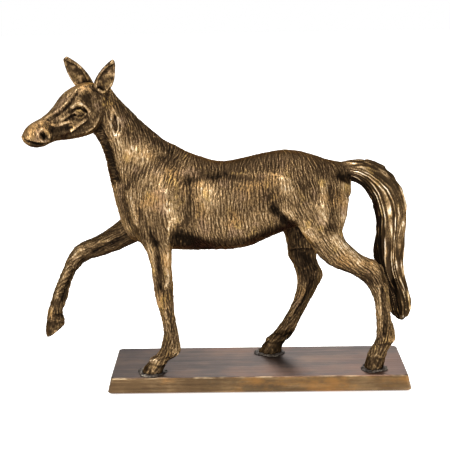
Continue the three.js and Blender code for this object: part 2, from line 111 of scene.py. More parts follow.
def makeStudio(settings):
    size = settings["floorSize"] / 2
    mesh = bpy.data.meshes.new("floor")
    corners = [(-size, -size, 0), (size, -size, 0), (size, size, 0), (-size, size, 0)]
    mesh.from_pydata(corners, [], [(0, 1, 2, 3)])
    floor = bpy.data.objects.new("floor", mesh)
    bpy.context.scene.collection.objects.link(floor)
    paper = bpy.data.materials.new("floor_paper")
    paper.use_nodes = True
    sockets = paper.node_tree.nodes["Principled BSDF"].inputs
    sockets["Base Color"].default_value = settings["floorColour"]
    sockets["Roughness"].default_value = settings["floorRoughness"]
    sockets["Emission Color"].default_value = (1, 1, 1, 1)
    sockets["Emission Strength"].default_value = settings["floorGlow"]
    mesh.materials.append(paper)
    for name, (place, aim, width, power) in settings["lamps"].items():
        lamp = bpy.data.lights.new(name, "AREA")
        lamp.shape = "DISK"
        lamp.size = width
        lamp.energy = power
        holder = bpy.data.objects.new(name, lamp)
        holder.location = place
        holder.rotation_euler = (Vector(aim) - Vector(place)).to_track_quat("-Z", "Y").to_euler()
        bpy.context.scene.collection.objects.link(holder)
    world = bpy.data.worlds.new("studio")
    world.use_nodes = True
    tree = world.node_tree
    backdrop = tree.nodes["Background"]
    backdrop.inputs["Color"].default_value = (1, 1, 1, 1)
    # the room that the bronze reflects is lighter above than around
    coordinate = tree.nodes.new("ShaderNodeTexCoord")
    split = tree.nodes.new("ShaderNodeSeparateXYZ")
    tree.links.new(coordinate.outputs["Generated"], split.inputs[0])
    ramp = tree.nodes.new("ShaderNodeValToRGB")
    ramp.color_ramp.elements[0].color = settings["skySide"]
    ramp.color_ramp.elements[0].position = settings["skyStart"]
    ramp.color_ramp.elements[1].color = settings["skyTop"]
    tree.links.new(split.outputs["Z"], ramp.inputs["Fac"])
    room = tree.nodes.new("ShaderNodeBackground")
    room.inputs["Strength"].default_value = settings["skyStrength"]
    tree.links.new(ramp.outputs["Color"], room.inputs["Color"])
    pick = tree.nodes.new("ShaderNodeMixShader")
    path = tree.nodes.new("ShaderNodeLightPath")
    tree.links.new(path.outputs["Is Camera Ray"], pick.inputs[0])
    tree.links.new(room.outputs[0], pick.inputs[1])
    tree.links.new(backdrop.outputs[0], pick.inputs[2])
    tree.links.new(pick.outputs[0], tree.nodes["World Output"].inputs["Surface"])
    bpy.context.scene.world = world
    bpy.context.scene.view_settings.view_transform = "Standard"


makeCamera(view)
makeStudio(studio)
print("camera, floor and lights made")


# ---- finishes

class Wire:
    # a shader value that can be used in sums
    def __init__(self, finish, socket):
        self.finish = finish
        self.socket = socket

    def join(self, operation, first, second):
        return self.finish.node("ShaderNodeMath", {"operation": operation}, {0: first, 1: second})

    def __add__(self, other):
        return self.join("ADD", self, other)

    def __radd__(self, other):
        return self.join("ADD", other, self)

    def __sub__(self, other):
        return self.join("SUBTRACT", self, other)

    def __rsub__(self, other):
        return self.join("SUBTRACT", other, self)

    def __mul__(self, other):
        return self.join("MULTIPLY", self, other)

    def __rmul__(self, other):
        return self.join("MULTIPLY", other, self)


class Finish:
    def __init__(self, name):
        self.material = bpy.data.materials.new(name)
        self.material.use_nodes = True
        self.tree = self.material.node_tree
        self.tree.nodes.clear()

    def node(self, kind, settings=None, inputs=None, output=0):
        made = self.tree.nodes.new(kind)
        for key, value in (settings or {}).items():
            if key == "stops":
                elements = made.color_ramp.elements
                while len(elements) < len(value):
                    elements.new(0.5)
                for element, (position, colour) in zip(elements, value):
                    element.position = position
                    element.color = colour
            else:
                setattr(made, key, value)
        for key, value in (inputs or {}).items():
            if isinstance(value, Wire):
                self.tree.links.new(value.socket, made.inputs[key])
            else:
                made.inputs[key].default_value = value
        return Wire(self, made.outputs[output])

    def attribute(self, name):
        return self.node("ShaderNodeAttribute", {"attribute_name": name}, output="Fac")

    def grain(self, scale, detail=3.0, roughness=0.55, stretch=(1, 1, 1), turn=(0, 0, 0)):
        place = self.node("ShaderNodeTexCoord", output="Object")
        spread = self.node("ShaderNodeMapping", None, {"Vector": place, "Scale": stretch, "Rotation": turn})
        inputs = {"Vector": spread, "Scale": scale, "Detail": detail, "Roughness": roughness}
        return self.node("ShaderNodeTexNoise", None, inputs)

    def ramp(self, value, stops):
        return self.node("ShaderNodeValToRGB", {"stops": stops}, {"Fac": value})

    def between(self, value, low, high):
        # 0 below low, 1 above high
        inputs = {"Value": value, "From Min": low, "From Max": high}
        return self.node("ShaderNodeMapRange", {"interpolation_type": "SMOOTHSTEP"}, inputs)

    def mixed(self, mask, first, second):
        return self.node("ShaderNodeMix", {"data_type": "RGBA"}, {0: mask, 6: first, 7: second}, output=2)

    def surface(self, inputs, height=None, lift=0.0):
        # height in a Bump node, lift its distance in metres
        if height is not None:
            bump = self.node("ShaderNodeBump", None, {"Height": height, "Distance": lift, "Strength": 1.0})
            inputs = {**inputs, "Normal": bump}
        shader = self.node("ShaderNodeBsdfPrincipled", None, inputs)
        out = self.tree.nodes.new("ShaderNodeOutputMaterial")
        self.tree.links.new(shader.socket, out.inputs["Surface"])
        return self.material


figurePatina = {
    "stops": [
        (0.00, (0.008, 0.0050, 0.0030, 1)),
        (0.24, (0.045, 0.0270, 0.0130, 1)),
        (0.43, (0.180, 0.1120, 0.0520, 1)),
        (0.60, (0.380, 0.2500, 0.1250, 1)),
        (0.78, (0.640, 0.5000, 0.3200, 1)),
        (1.00, (0.960, 0.8700, 0.7200, 1)),
    ],
    "base": 0.155,
    "relief": 0.42,
    "wear": 0.60,
    "blotches": 0.28,
    "specks": 0.14,
    "strokes": 1.0,
    # noise, the share of it that shows, the tones that take the tint, strength, colour
    "tints": {
        "orange": ((28, 2), (0.52, 0.72), (0.25, 0.5), 0.4, (0.40, 0.20, 0.050, 1)),
        "violet": ((60, 3), (0.54, 0.68), (0.2, 0.45), 0.32, (0.205, 0.128, 0.096, 1)),
        "gold": ((75, 2, 0.5, (1, 1, 0.7)), (0.56, 0.72), (0.25, 0.5), 0.45, (0.42, 0.26, 0.06, 1)),
    },
    "metallic": 0.93,
    "edgeTint": (0.62, 0.48, 0.33, 1),
    "edgeLevel": 0.2,
    "pitDepth": 0.00012,  # metres
}


def makeFigureBronze(settings):
    finish = Finish("figure_bronze")
    relief = finish.attribute("relief")
    # the second attribute holds rubbed wear together with painted shade and painted highlights
    wear = finish.attribute("wear")
    blotch = finish.grain(45, 4)
    speck = finish.grain(900, 2)
    stroke = finish.grain(1350, 2, 0.6, (1, 1, 0.3), (0, 0.12, 0))
    tone = settings["base"] + settings["relief"] * relief + settings["wear"] * wear
    tone = tone + settings["blotches"] * (blotch - 0.5) + settings["specks"] * (speck - 0.5)
    tone = tone + settings["strokes"] * (stroke - 0.5) * finish.between(tone, 0.1, 0.45)
    colour = finish.ramp(tone, settings["stops"])
    for noise, shown, tones, strength, tint in settings["tints"].values():
        mask = finish.between(finish.grain(*noise), *shown) * finish.between(tone, *tones) * strength
        colour = finish.mixed(mask, colour, tint)
    inputs = {
        "Base Color": colour,
        "Roughness": 0.50 - 0.20 * finish.between(tone, 0.3, 0.9) + 0.12 * (blotch - 0.5),
        "Metallic": settings["metallic"],
        "Specular Tint": settings["edgeTint"],
        "Specular IOR Level": settings["edgeLevel"],
    }
    return finish.surface(inputs, finish.grain(1500, 3), settings["pitDepth"])


plinthPatina = {
    "top": [
        (0.30, (0.020, 0.014, 0.012, 1)),
        (0.50, (0.078, 0.052, 0.041, 1)),
        (0.68, (0.190, 0.118, 0.078, 1)),
    ],
    "sides": [
        (0.25, (0.045, 0.026, 0.014, 1)),
        (0.50, (0.140, 0.084, 0.040, 1)),
        (0.72, (0.360, 0.230, 0.110, 1)),
    ],
    "rubbedEdge": (0.62, 0.46, 0.27, 1),
    "rubbing": 0.6,
    # where it is, noise, the share of it that shows, strength, colour
    "patches": {
        "orange": ("sides", (22, 5, 0.7, (0.6, 1, 1.4)), (0.5, 0.66), 0.6, (0.34, 0.16, 0.045, 1)),
        "dark": ("sides", (30, 5, 0.7, (0.6, 1, 1.4), (0, 0, 0.8)), (0.56, 0.68), 0.6, (0.10, 0.07, 0.04, 1)),
        "red": ("top", (18, 5, 0.7, (0.5, 1, 1)), (0.5, 0.66), 0.45, (0.170, 0.080, 0.050, 1)),
    },
    "metallic": 0.92,
    "brushDepth": 0.0002,  # metres
}


def makePlinthBronze(settings):
    finish = Finish("plinth_bronze")
    facing = finish.node("ShaderNodeNewGeometry", output="Normal")
    upward = finish.node("ShaderNodeSeparateXYZ", None, {0: facing}, output="Z")
    top = finish.between(upward, 0.55, 0.9)
    streak = finish.grain(130, 5, 0.65, (0.12, 2.6, 2.6), (0, 0, 0.03))
    cloud = finish.grain(34, 5, 0.65, (0.6, 1, 1))
    topColour = finish.ramp(0.42 * streak + 0.58 * cloud, settings["top"])
    sideColour = finish.ramp(0.45 * streak + 0.55 * cloud, settings["sides"])
    colour = finish.mixed(top, sideColour, topColour)
    rim = finish.between(upward, 0.25, 0.4) * (1 - finish.between(upward, 0.8, 0.95))
    worn = finish.between(finish.grain(90, 3, 0.6, (0.5, 1, 1)), 0.42, 0.68)
    colour = finish.mixed(rim * settings["rubbing"] * worn, colour, settings["rubbedEdge"])
    faces = {"top": top, "sides": 1 - top}
    for face, noise, shown, strength, tint in settings["patches"].values():
        mask = finish.between(finish.grain(*noise), *shown) * faces[face]
        colour = finish.mixed(mask * strength, colour, tint)
    fine = finish.grain(220, 4, 0.6, (0.06, 2.2, 2.2), (0, 0, 0.05))
    roughness = 0.34 + 0.25 * (fine - 0.5) + 0.16 * cloud
    inputs = {"Base Color": colour, "Roughness": roughness, "Metallic": settings["metallic"]}
    return finish.surface(inputs, fine, settings["brushDepth"])


brazeMetal = {
    "stops": [
        (0.36, (0.020, 0.015, 0.012, 1)),
        (0.55, (0.070, 0.054, 0.042, 1)),
        (0.74, (0.300, 0.260, 0.200, 1)),
    ],
    "pitDepth": 0.0003,  # metres
}
steelMetal = {
    "stops": [(0.3, (0.30, 0.30, 0.31, 1)), (0.7, (0.52, 0.52, 0.53, 1))],
    "grooveDepth": 0.00005,
}
greenFelt = {
    "stops": [(0.3, (0.010, 0.018, 0.012, 1)), (0.7, (0.040, 0.062, 0.045, 1))],
    "pileDepth": 0.0006,
}


def makeBrazeMetal(settings):
    finish = Finish("braze")
    cloud = finish.grain(180, 4)
    colour = finish.ramp(cloud, settings["stops"])
    inputs = {"Base Color": colour, "Roughness": 0.46 + 0.3 * (cloud - 0.5), "Metallic": 0.8}
    return finish.surface(inputs, finish.grain(700, 3), settings["pitDepth"])


def makeSteel(settings):
    finish = Finish("steel_fixings")
    streak = finish.grain(400, 3, 0.6, (1, 1, 0.1))
    colour = finish.ramp(streak, settings["stops"])
    inputs = {"Base Color": colour, "Roughness": 0.28 + 0.2 * streak, "Metallic": 1.0}
    return finish.surface(inputs, streak, settings["grooveDepth"])


def makeFelt(settings):
    finish = Finish("felt")
    fibre = finish.grain(2600, 5, 0.7)
    colour = finish.ramp(fibre, settings["stops"])
    inputs = {"Base Color": colour, "Roughness": 0.95, "Sheen Weight": 0.4}
    return finish.surface(inputs, fibre, settings["pileDepth"])


finishes = {
    "figure": makeFigureBronze(figurePatina),
    "plinth": makePlinthBronze(plinthPatina),
    "braze": makeBrazeMetal(brazeMetal),
    "steel": makeSteel(steelMetal),
    "felt": makeFelt(greenFelt),
}
print("finishes made")


# ---- the cast figure: one smooth skin over all the castings, sculpted, then parted again

casting = {
    "nodes": ["body_left_half", "body_right_half", "neck", "head", "left_ear", "right_ear", "left_foreleg",
              "right_foreleg", "left_hind_leg", "right_hind_leg", "tail"],
    "voxel": 0.67,  # mm
    "seal": 0.3,  # closes the gaps between castings
    "firstBand": 6,  # voxels kept either side of the first skin
    "band": 10,  # and of the second
    "ownBand": 8,  # and around each casting by itself
    "farAway": 50,  # mm, stands for the distance to a casting outside its own band
    "softTorso": 2.6,  # mm, how far muscles run into each other
    "softLimb": 0.9,
    "softEar": 0.35,
    "earSwell": 0.45,
    "broadEdge": 2.2,  # mm, how far a swelling or a hollow is felt
    "fineEdge": 0.9,
    # mm, each a stretch over which one softness runs into the next
    "legsEnd": (100, 135),
    "tailBegins": (82, 96),
    "headEnds": (-158, -142),
    "headBegins": (225, 245),
    "earsBegin": (281, 287),
    "earsEnd": (-140, -134),
}


def nodeMesh(name):
    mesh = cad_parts[name].data
    points = np.zeros(len(mesh.vertices) * 3, np.float32)
    mesh.vertices.foreach_get("co", points)
    mesh.calc_loop_triangles()
    corners = np.zeros(len(mesh.loop_triangles) * 3, np.int32)
    mesh.loop_triangles.foreach_get("vertices", corners)
    return toDeck(points.reshape(-1, 3)).astype(np.float32), corners.reshape(-1, 3).astype(np.uint32)


def levelSet(points, voxel, band, triangles=None, quads=None):
    spacing = openvdb.createLinearTransform(voxelSize=voxel)
    faces = {"triangles": triangles} if quads is None else {"quads": quads}
    return openvdb.FloatGrid.createLevelSetFromPolygons(
        points.astype(np.float32), transform=spacing, halfWidth=band, **faces)


def asArray(grid):
    low, high = grid.evalActiveVoxelBoundingBox()
    field = np.zeros([h - l + 1 for l, h in zip(low, high)], np.float32)
    grid.copyToArray(field, ijk=low)
    return field, low


def blurred(field, sigma):
    # sigma in voxels
    reach = math.ceil(2.4 * sigma)
    weights = np.exp(-0.5 * (np.arange(reach + 1) / sigma) ** 2)
    weights /= weights[0] + 2 * weights[1:].sum()
    for axis in range(3):
        source = np.moveaxis(field, axis, 0)
        result = source * np.float32(weights[0])
        for step in range(1, reach + 1):
            share = source * np.float32(weights[step])
            result[step:] += share[:-step]
            result[:-step] += share[step:]
            result[:step] += share[:step]
            result[-step:] += share[-step:]
        field = np.moveaxis(result, 0, axis)
    return field


def sampled(field, low, voxel, points, outside):
    # trilinear reading of a field at points in mm
    place = points / voxel - np.array(low, np.float32)
    base = np.floor(place).astype(np.int32)
    inside = np.all((base >= 0) & (base < np.array(field.shape) - 1), axis=1)
    values = np.full(len(points), outside, np.float32)
    base = base[inside]
    part = (place[inside] - base).astype(np.float32)
    total = np.zeros(len(base), np.float32)
    for x in (0, 1):
        for y in (0, 1):
            for z in (0, 1):
                sides = [part[:, i] if on else 1 - part[:, i] for i, on in enumerate((x, y, z))]
                share = np.prod(sides, axis=0)
                total += share * field[base[:, 0] + x, base[:, 1] + y, base[:, 2] + z]
    values[inside] = total
    return values


def smoothStep(value, low, high):
    t = np.clip((value - low) / (high - low), 0, 1)
    return t * t * (3 - 2 * t)


def castSkin(settings):
    parts = [nodeMesh(name) for name in settings["nodes"]]
    offsets = np.cumsum([0] + [len(points) for points, faces in parts[:-1]])
    points = np.concatenate([part[0] for part in parts])
    faces = np.concatenate([part[1] + offset for part, offset in zip(parts, offsets)]).astype(np.uint32)
    voxel, seal = settings["voxel"], settings["seal"]
    # the first skin lies a little proud, so that no gap shows in it
    proud, quads = levelSet(points, voxel, settings["firstBand"], triangles=faces).convertToQuads(seal)
    grid = levelSet(proud, voxel, settings["band"], quads=quads)
    field, low = asArray(grid)
    field += seal
    sharp = field
    soft = blurred(field, settings["softTorso"] / voxel)
    firm = blurred(field, settings["softLimb"] / voxel)
    x = ((np.arange(field.shape[0]) + low[0]) * voxel)[:, None, None]
    z = ((np.arange(field.shape[2]) + low[2]) * voxel)[None, None, :]
    # the torso is above the legs, before the tail and behind the head
    torso = smoothStep(z, *settings["legsEnd"]) * (1 - smoothStep(x, *settings["tailBegins"]))
    face = (1 - smoothStep(x, *settings["headEnds"])) * smoothStep(z, *settings["headBegins"])
    torso = (torso * (1 - face)).astype(np.float32)
    field = firm + (soft - firm) * torso
    # the ears are thin, so they keep their own edges
    crisp = blurred(sharp, settings["softEar"] / voxel) - np.float32(settings["earSwell"])
    ear = smoothStep(z, *settings["earsBegin"]) * (1 - smoothStep(x, *settings["earsEnd"]))
    field = field + (crisp - field) * ear.astype(np.float32)
    smooth = openvdb.FloatGrid(float(settings["band"] * voxel))
    smooth.transform = openvdb.createLinearTransform(voxelSize=voxel)
    smooth.copyFromArray(field, ijk=low)
    points, quads = smooth.convertToQuads(0.0)
    broad = blurred(soft, settings["broadEdge"] / voxel)
    fine = blurred(field, settings["fineEdge"] / voxel)
    convex = sampled(broad, low, voxel, points, 0)
    edges = sampled(fine, low, voxel, points, 0)
    distances = []
    for part in parts:
        own, ownLow = asArray(levelSet(part[0], voxel, settings["ownBand"], triangles=part[1]))
        distances.append(sampled(own, ownLow, voxel, points, settings["farAway"]))
    return points, quads.astype(np.int64), convex, edges, np.stack(distances, axis=1)


def vertexNormals(points, quads):
    first = points[quads[:, 2]] - points[quads[:, 0]]
    second = points[quads[:, 3]] - points[quads[:, 1]]
    face = np.cross(first, second)
    normals = np.zeros_like(points)
    for axis in range(3):
        for corner in range(4):
            normals[:, axis] += np.bincount(quads[:, corner], face[:, axis], len(points))
    return normals / np.maximum(np.linalg.norm(normals, axis=1, keepdims=True), 1e-9)


skin, skinQuads, convexity, edges, nearNodes = castSkin(casting)
normals = vertexNormals(skin, skinQuads)
if np.sum(skin * normals) < 0:
    skinQuads = skinQuads[:, ::-1]
    normals = -normals
owner = np.argmin(nearNodes, axis=1)
ownerOf = {name: owner == i for i, name in enumerate(casting["nodes"])}
isHead = ownerOf["head"].astype(np.float32)
isEar = ownerOf["left_ear"] | ownerOf["right_ear"]
ears = isEar.astype(np.float32)
print("skin cast,", len(skin), "points,", len(skinQuads), "faces")


# ---- value noise, the same on every run

lattice = np.random.default_rng(11).random(64 ** 3, dtype=np.float32) * 2 - 1


def valueNoise(points, cell, shift=0.0):
    place = points / np.asarray(cell, np.float32) + np.float32(shift)
    base = np.floor(place)
    part = place - base
    part = part * part * (3 - 2 * part)
    base = base.astype(np.int32)
    total = 0
    for x in (0, 1):
        for y in (0, 1):
            for z in (0, 1):
                cube = (base + np.array([x, y, z], np.int32)) & 63
                spot = (cube[:, 0] << 12) | (cube[:, 1] << 6) | cube[:, 2]
                share = (part[:, 0] if x else 1 - part[:, 0]) * (part[:, 1] if y else 1 - part[:, 1])
                total = total + share * (part[:, 2] if z else 1 - part[:, 2]) * lattice[spot]
    return total


# ---- modelling: each mark is (width, height, wear, line), a ridge where height is above 0 and a groove below; the wear is rubbed wear, with painted shade on the marks named shade and on the throat, and a painted highlight on the eyeball

torsoMarks = {
    "hollow before the shoulder": (
        6.0, -1.7, -0.4, [(-84, 221), (-95, 218), (-103, 213), (-113, 208), (-123, 201), (-131, 191)]),
    "base of the neck": (12, 1.4, 0.42, [(-121, 226), (-112, 220)]),
    "shoulder": (15, 1.5, 0.36, [(-104, 198), (-97, 186)]),
    "shoulder point": (9, 1.2, 0.1, [(-120, 180), (-112, 172)]),
    "hollow behind the withers": (4.2, -1.4, -0.5, [(-70, 198), (-62, 201), (-50, 202), (-42, 201.5)]),
    "flank shade": (9, 0.0, -0.55, [(0, 132), (14, 137), (26, 146), (33, 153)]),
    "end of the hollow": (2.6, -1.0, -0.45, [(-44, 202), (-36, 202.5), (-29, 204)]),
    "back muscle": (1.5, 0.4, 0.14, [(-26, 204.6), (-10, 203.5), (8, 204.5), (20, 203)]),
    "below the back muscle": (2.6, -0.5, -0.22, [(-30, 201), (-12, 200), (6, 200.5)]),
    "elbow": (5, 1.8, 0.5, [(-88, 173), (-84, 165), (-80, 159)]),
    "arm muscle": (7, 1.4, 0.25, [(-92, 186), (-86, 176)]),
    "girth groove": (4.8, -1.4, -0.36, [(-65, 196), (-66, 185), (-68, 171), (-70, 158), (-76, 150)]),
    "front ribs": (11, 1.0, 0.55, [(-52, 190), (-47, 178)]),
    "girth": (7.5, -2.4, -1.2, [(-80, 139), (-70, 137), (-60, 131), (-50, 126)]),
    "breast ridge": (3.4, 1.3, 0.42, [(-129, 186), (-125, 177), (-124, 167), (-122, 156)]),
    "breast groove": (4.5, -1.3, -0.4, [(-135, 182), (-132, 169), (-128, 157), (-121, 147)]),
    "upper arm groove": (3.5, -1.4, -0.5, [(-117, 168), (-113, 155), (-106, 146), (-101, 136)]),
    "hip point": (7.5, 2.4, 0.6, [(26, 199), (30, 190)]),
    "hollow behind the hip": (8, -1.0, -0.2, [(44, 200), (50, 190)]),
    "flank hollow": (7.5, -2.4, -0.45, [(12, 183), (20, 174)]),
    "flank fold groove": (3.0, -2.2, -1.1, [(15, 171), (22, 162), (31, 152), (42, 141.5), (49, 134)]),
    "thigh front": (5.5, 1.8, 0.45, [(26, 172), (34, 160), (45, 149), (55, 139)]),
    "stifle": (8, 1.4, 0.15, [(52, 146)]),
    "rump streak": (4.5, 1.4, 0.55, [(66, 193), (65.5, 180), (65, 166), (66, 154)]),
    "rump groove": (2.6, -1.8, -0.45, [(72, 190), (73.5, 178), (74, 166), (73, 156)]),
    "rump rear": (3.2, 0.8, 0.5, [(86, 191), (87.5, 182), (87, 172), (84, 158)]),
    "hollow above the gaskin": (5, -2.0, -0.7, [(69, 152), (75, 150)]),
    "gaskin muscle": (5, 1.6, 0.65, [(76, 141), (84, 133), (93, 124), (101, 116)]),
    "gaskin groove": (2.2, -0.9, -0.2, [(82, 144), (92, 134), (102, 125)]),
    "tail root hollow": (4.0, -1.6, -1.1, [(83, 199.5), (88, 197.5), (93, 195)]),
    "orange patch": (7, 0.0, 0.2, [(-72, 212), (-64, 205)]),
    "neck crest groove": (
        4, -0.8, -0.35, [(-88, 229), (-103, 238), (-118, 253), (-131, 267), (-138, 276)]),
    "windpipe groove": (
        3.0, -1.8, -0.9, [(-139, 198), (-143, 214), (-146.5, 228), (-151, 243), (-155, 251)]),
    # painted shade on the front of the neck
    "throat": (4.5, 0.3, -0.75, [(-146, 196), (-149, 212), (-152, 226), (-158, 240)]),
    "lock of hair front": (
        1.3, 1.3, 0.8, [(-141, 269.5), (-142, 262), (-143.5, 256), (-142.5, 249), (-139, 243)]),
    "lock of hair middle": (
        1.2, 1.2, 0.8, [(-140, 268), (-137, 262), (-136, 256), (-136.5, 249), (-138.5, 243)]),
    "lock of hair back": (1.2, 1.1, 0.7, [(-134.5, 257), (-132.5, 251), (-133.5, 246), (-137.5, 240.5)]),
    "lock of hair dark": (1.7, -1.2, -0.55, [(-139.5, 262), (-140, 255), (-139, 248)]),
    "lock of hair dark back": (1.2, -0.9, -0.5, [(-135, 254), (-135, 248)]),
    "neck below the lock": (6, 0.5, 0.4, [(-139, 239), (-132, 233), (-124, 228)]),
    "neck side shade": (7, -0.6, -0.25, [(-128, 247), (-118, 238)]),
    "belly shade": (12, 0.0, -0.7, [(-62, 118), (-40, 117), (-15, 117), (5, 122), (24, 133)]),
    "chest shade": (7, 0.0, -0.5, [(-112, 140), (-120, 132)]),
}
leftMarks = {
    "forearm groove": (2.6, -1.7, -0.75, [(-101, 138), (-100, 127), (-99, 107), (-98, 92)]),
    "forearm rear ridge": (
        2.4, 1.2, 0.85, [(-87, 158), (-88.5, 148), (-90, 136), (-91, 121), (-91, 100), (-93, 92)]),
    "forearm front ridge": (
        2.4, 1.0, 0.5, [(-114, 158), (-111, 148), (-108, 136), (-105.5, 122), (-103, 104)]),
    "knee hollow": (3.0, -0.9, -0.6, [(-97, 88)]),
    "knee cap": (3.4, 0.9, 0.3, [(-101, 80), (-98, 72)]),
    "fore cannon tendon": (1.5, -1.0, -0.45, [(-90.5, 66), (-88.5, 52), (-87.5, 42), (-87, 34)]),
    "fore cannon ridge": (1.7, 0.8, 0.6, [(-94, 64), (-92, 56), (-89.5, 45), (-87.5, 33)]),
    "fore fetlock": (3.4, 1.2, 0.5, [(-86, 26), (-84, 22)]),
    "fore pastern crease": (1.3, -1.1, -0.7, [(-94, 17), (-88, 15), (-83, 16)]),
    "fore coronet bump": (2.0, 1.0, 0.7, [(-110, 14.5), (-104, 14)]),
    "hock": (4.5, 1.7, 0.6, [(115, 109), (118, 104)]),
    "hock groove": (2.1, -1.8, -0.9, [(113, 120), (119, 115), (124, 106), (128.5, 93)]),
    "hock front hollow": (3.2, -1.2, -0.4, [(106, 99), (112, 93)]),
    "heel tendon": (2.2, 1.2, 0.4, [(97, 127), (108, 121), (119, 113)]),
    "hind cannon tendon": (1.6, -1.3, -0.75, [(124, 88), (125, 78), (127, 64), (128, 52), (127, 38)]),
    "hind cannon ridge": (1.8, 0.7, 0.5, [(121, 90), (122, 74), (123, 58), (123.5, 42)]),
    "hind fetlock": (3.4, 1.2, 0.3, [(133, 36), (135, 31)]),
    "hind pastern crease": (1.5, -0.7, -0.4, [(113, 27.5), (121, 26), (131, 28)]),
    "hind pastern ridge": (1.6, 0.7, 0.5, [(120, 24), (119, 17)]),
}
rightMarks = {
    "raised forearm groove": (2.6, -1.5, -0.7, [(-128, 140), (-143, 130), (-158, 122), (-170, 117)]),
    "raised forearm top": (2.4, 0.9, 0.5, [(-150, 133), (-163, 127), (-176, 123)]),
    "raised knee": (3.6, 1.4, 0.8, [(-184, 118), (-190, 112)]),
    "raised knee hollow": (2.6, -1.0, -0.5, [(-180, 108), (-184, 103)]),
    "raised cannon tendon": (1.6, -1.1, -0.6, [(-192, 96), (-197, 86), (-202, 75), (-206, 64)]),
    "raised cannon ridge": (1.8, 0.8, 0.6, [(-198, 100), (-203, 89), (-208, 77), (-212, 66)]),
    "raised fetlock": (3.6, 1.3, 0.4, [(-206, 56), (-208, 52)]),
    "raised pastern ridge": (1.8, 0.8, 0.7, [(-217, 55), (-218.5, 47)]),
    "raised pastern crease": (1.3, -1.1, -0.7, [(-208, 47), (-214, 48)]),
    "far collar": (1.0, 0.6, 0.45, [(30, 114), (37, 118), (47, 119.5), (58, 119)]),
    "far collar groove": (1.3, -0.4, -0.25, [(30, 111.5), (37, 115.3), (47, 116.8), (58, 116.5)]),
    "far gaskin groove": (2.6, -1.2, -0.4, [(48, 112), (54, 102), (60, 95)]),
    "far hock": (4.2, 1.3, 0.4, [(62, 93)]),
    "far shin": (2.2, 0.8, 0.5, [(40, 96), (44, 86), (44, 76)]),
    "far cannon tendon": (1.6, -1.2, -0.7, [(57, 82), (52, 68), (46, 56), (40, 45)]),
    "far cannon ridge": (1.7, 0.8, 0.5, [(50, 80), (46, 66), (41, 54), (35, 43)]),
    "far fetlock": (3.2, 1.2, 0.3, [(40, 31), (37, 26)]),
    "far pastern crease": (1.5, -0.7, -0.4, [(18, 22), (26, 20.5), (35, 22)]),
    "raised arm shade": (11, 0.0, -0.5, [(-122, 146), (-140, 136), (-150, 131)]),
    "raised cannon shade": (5, 0.0, -0.22, [(-192, 96), (-200, 76), (-207, 60)]),
    "far leg shade": (15, 0.0, -0.5, [(42, 130), (46, 112), (52, 98)]),
}
# in the head's own straight frame
headMarks = {
    "eye socket": (6.0, -1.9, -0.6, [(-190, 266), (-182, 266)]),
    # the eyeball's wear paints a highlight on it
    "eyeball": (2.2, 3.8, 0.62, [(-187.2, 266.3), (-184, 266.2)]),
    "eye corner": (1.3, -1.2, -0.9, [(-190.6, 266.2), (-195, 264), (-199, 261.5)]),
    "upper lid": (0.95, 1.5, 0.85, [(-192, 267.2), (-188.4, 269.8), (-184, 269.9), (-179.5, 266.8)]),
    "lid crease": (0.9, -1.0, -0.8, [(-192, 270), (-188, 272.3), (-183, 272.2), (-177.6, 268)]),
    "lower lid": (0.95, 1.2, 0.7, [(-191, 264.6), (-187, 262.6), (-183, 262.8), (-179, 265.6)]),
    "brow": (1.8, 2.2, 0.8, [(-191.5, 273), (-188, 276), (-183.6, 276.2), (-178.8, 273.6), (-175, 268.4)]),
    "cheek crest": (1.4, 1.9, 0.72, [(-194, 250.6), (-190, 253.8), (-184.5, 257.6), (-179.5, 260.2)]),
    "cheek crest foot": (1.7, 1.0, 0.25, [(-195.5, 249.3), (-191, 253)]),
    "below the crest": (3.4, -1.4, -0.35, [(-196, 245.5), (-186, 250.5), (-177, 255.5)]),
    "cheek": (6.5, 0.9, 0.0, [(-170, 256)]),
    "cheek edge": (1.0, 0.8, 0.5, [(-164, 264), (-166.5, 258), (-170.5, 252), (-177, 247.6)]),
    "face hollow": (4.2, -1.4, -0.5, [(-211, 253.5), (-203, 253), (-195, 254)]),
    "bone below the eye": (1.2, 1.0, 0.7, [(-211.5, 257.2), (-205.5, 256.2), (-200, 258.6), (-194, 259.4)]),
    "bone below the eye, inner": (1.2, 0.9, 0.5, [(-203, 262.2), (-198, 263.5), (-195, 266.5)]),
    "forehead groove": (
        1.0, -1.1, -0.7, [(-184, 286), (-191, 278.6), (-199, 271), (-206, 266), (-214, 262)]),
    "forehead ridge": (
        1.2, 0.8, 0.22, [(-183, 289), (-190.5, 282.3), (-199, 274.2), (-207, 268.6), (-215.5, 264.6)]),
    "temple": (6, -1.0, -0.35, [(-176, 281)]),
    "nostril": (1.9, -3.6, -1.2, [(-221.5, 248.6), (-219.6, 246.4)]),
    "nostril rim": (
        1.2, 1.3, 0.6, [(-215, 246), (-216.4, 251.4), (-221, 253.8), (-225.6, 251.8), (-226.4, 247)]),
    "nostril rim below": (1.5, 0.8, 0.5, [(-225.4, 243.6), (-220, 241.6), (-216, 242.6)]),
    "muzzle": (5, 0.6, 0.1, [(-229, 247.5)]),
    "muzzle crease": (1.1, -1.0, -0.6, [(-211.6, 252), (-210.6, 246.5), (-212.6, 242)]),
    "mouth": (
        0.95, -2.2, -1.3, [(-240, 245), (-236, 243), (-230, 241.2), (-223.6, 239.4), (-217.5, 239.8)]),
    "upper lip": (1.3, 0.6, 0.0, [(-238, 247), (-232, 244.6), (-226, 242.6)]),
    "chin": (2.8, 0.7, -0.9, [(-232, 237.8), (-226, 236.6)]),
    "jaw groove": (2.2, -0.9, -0.4, [(-206, 245), (-196, 243.6)]),
}


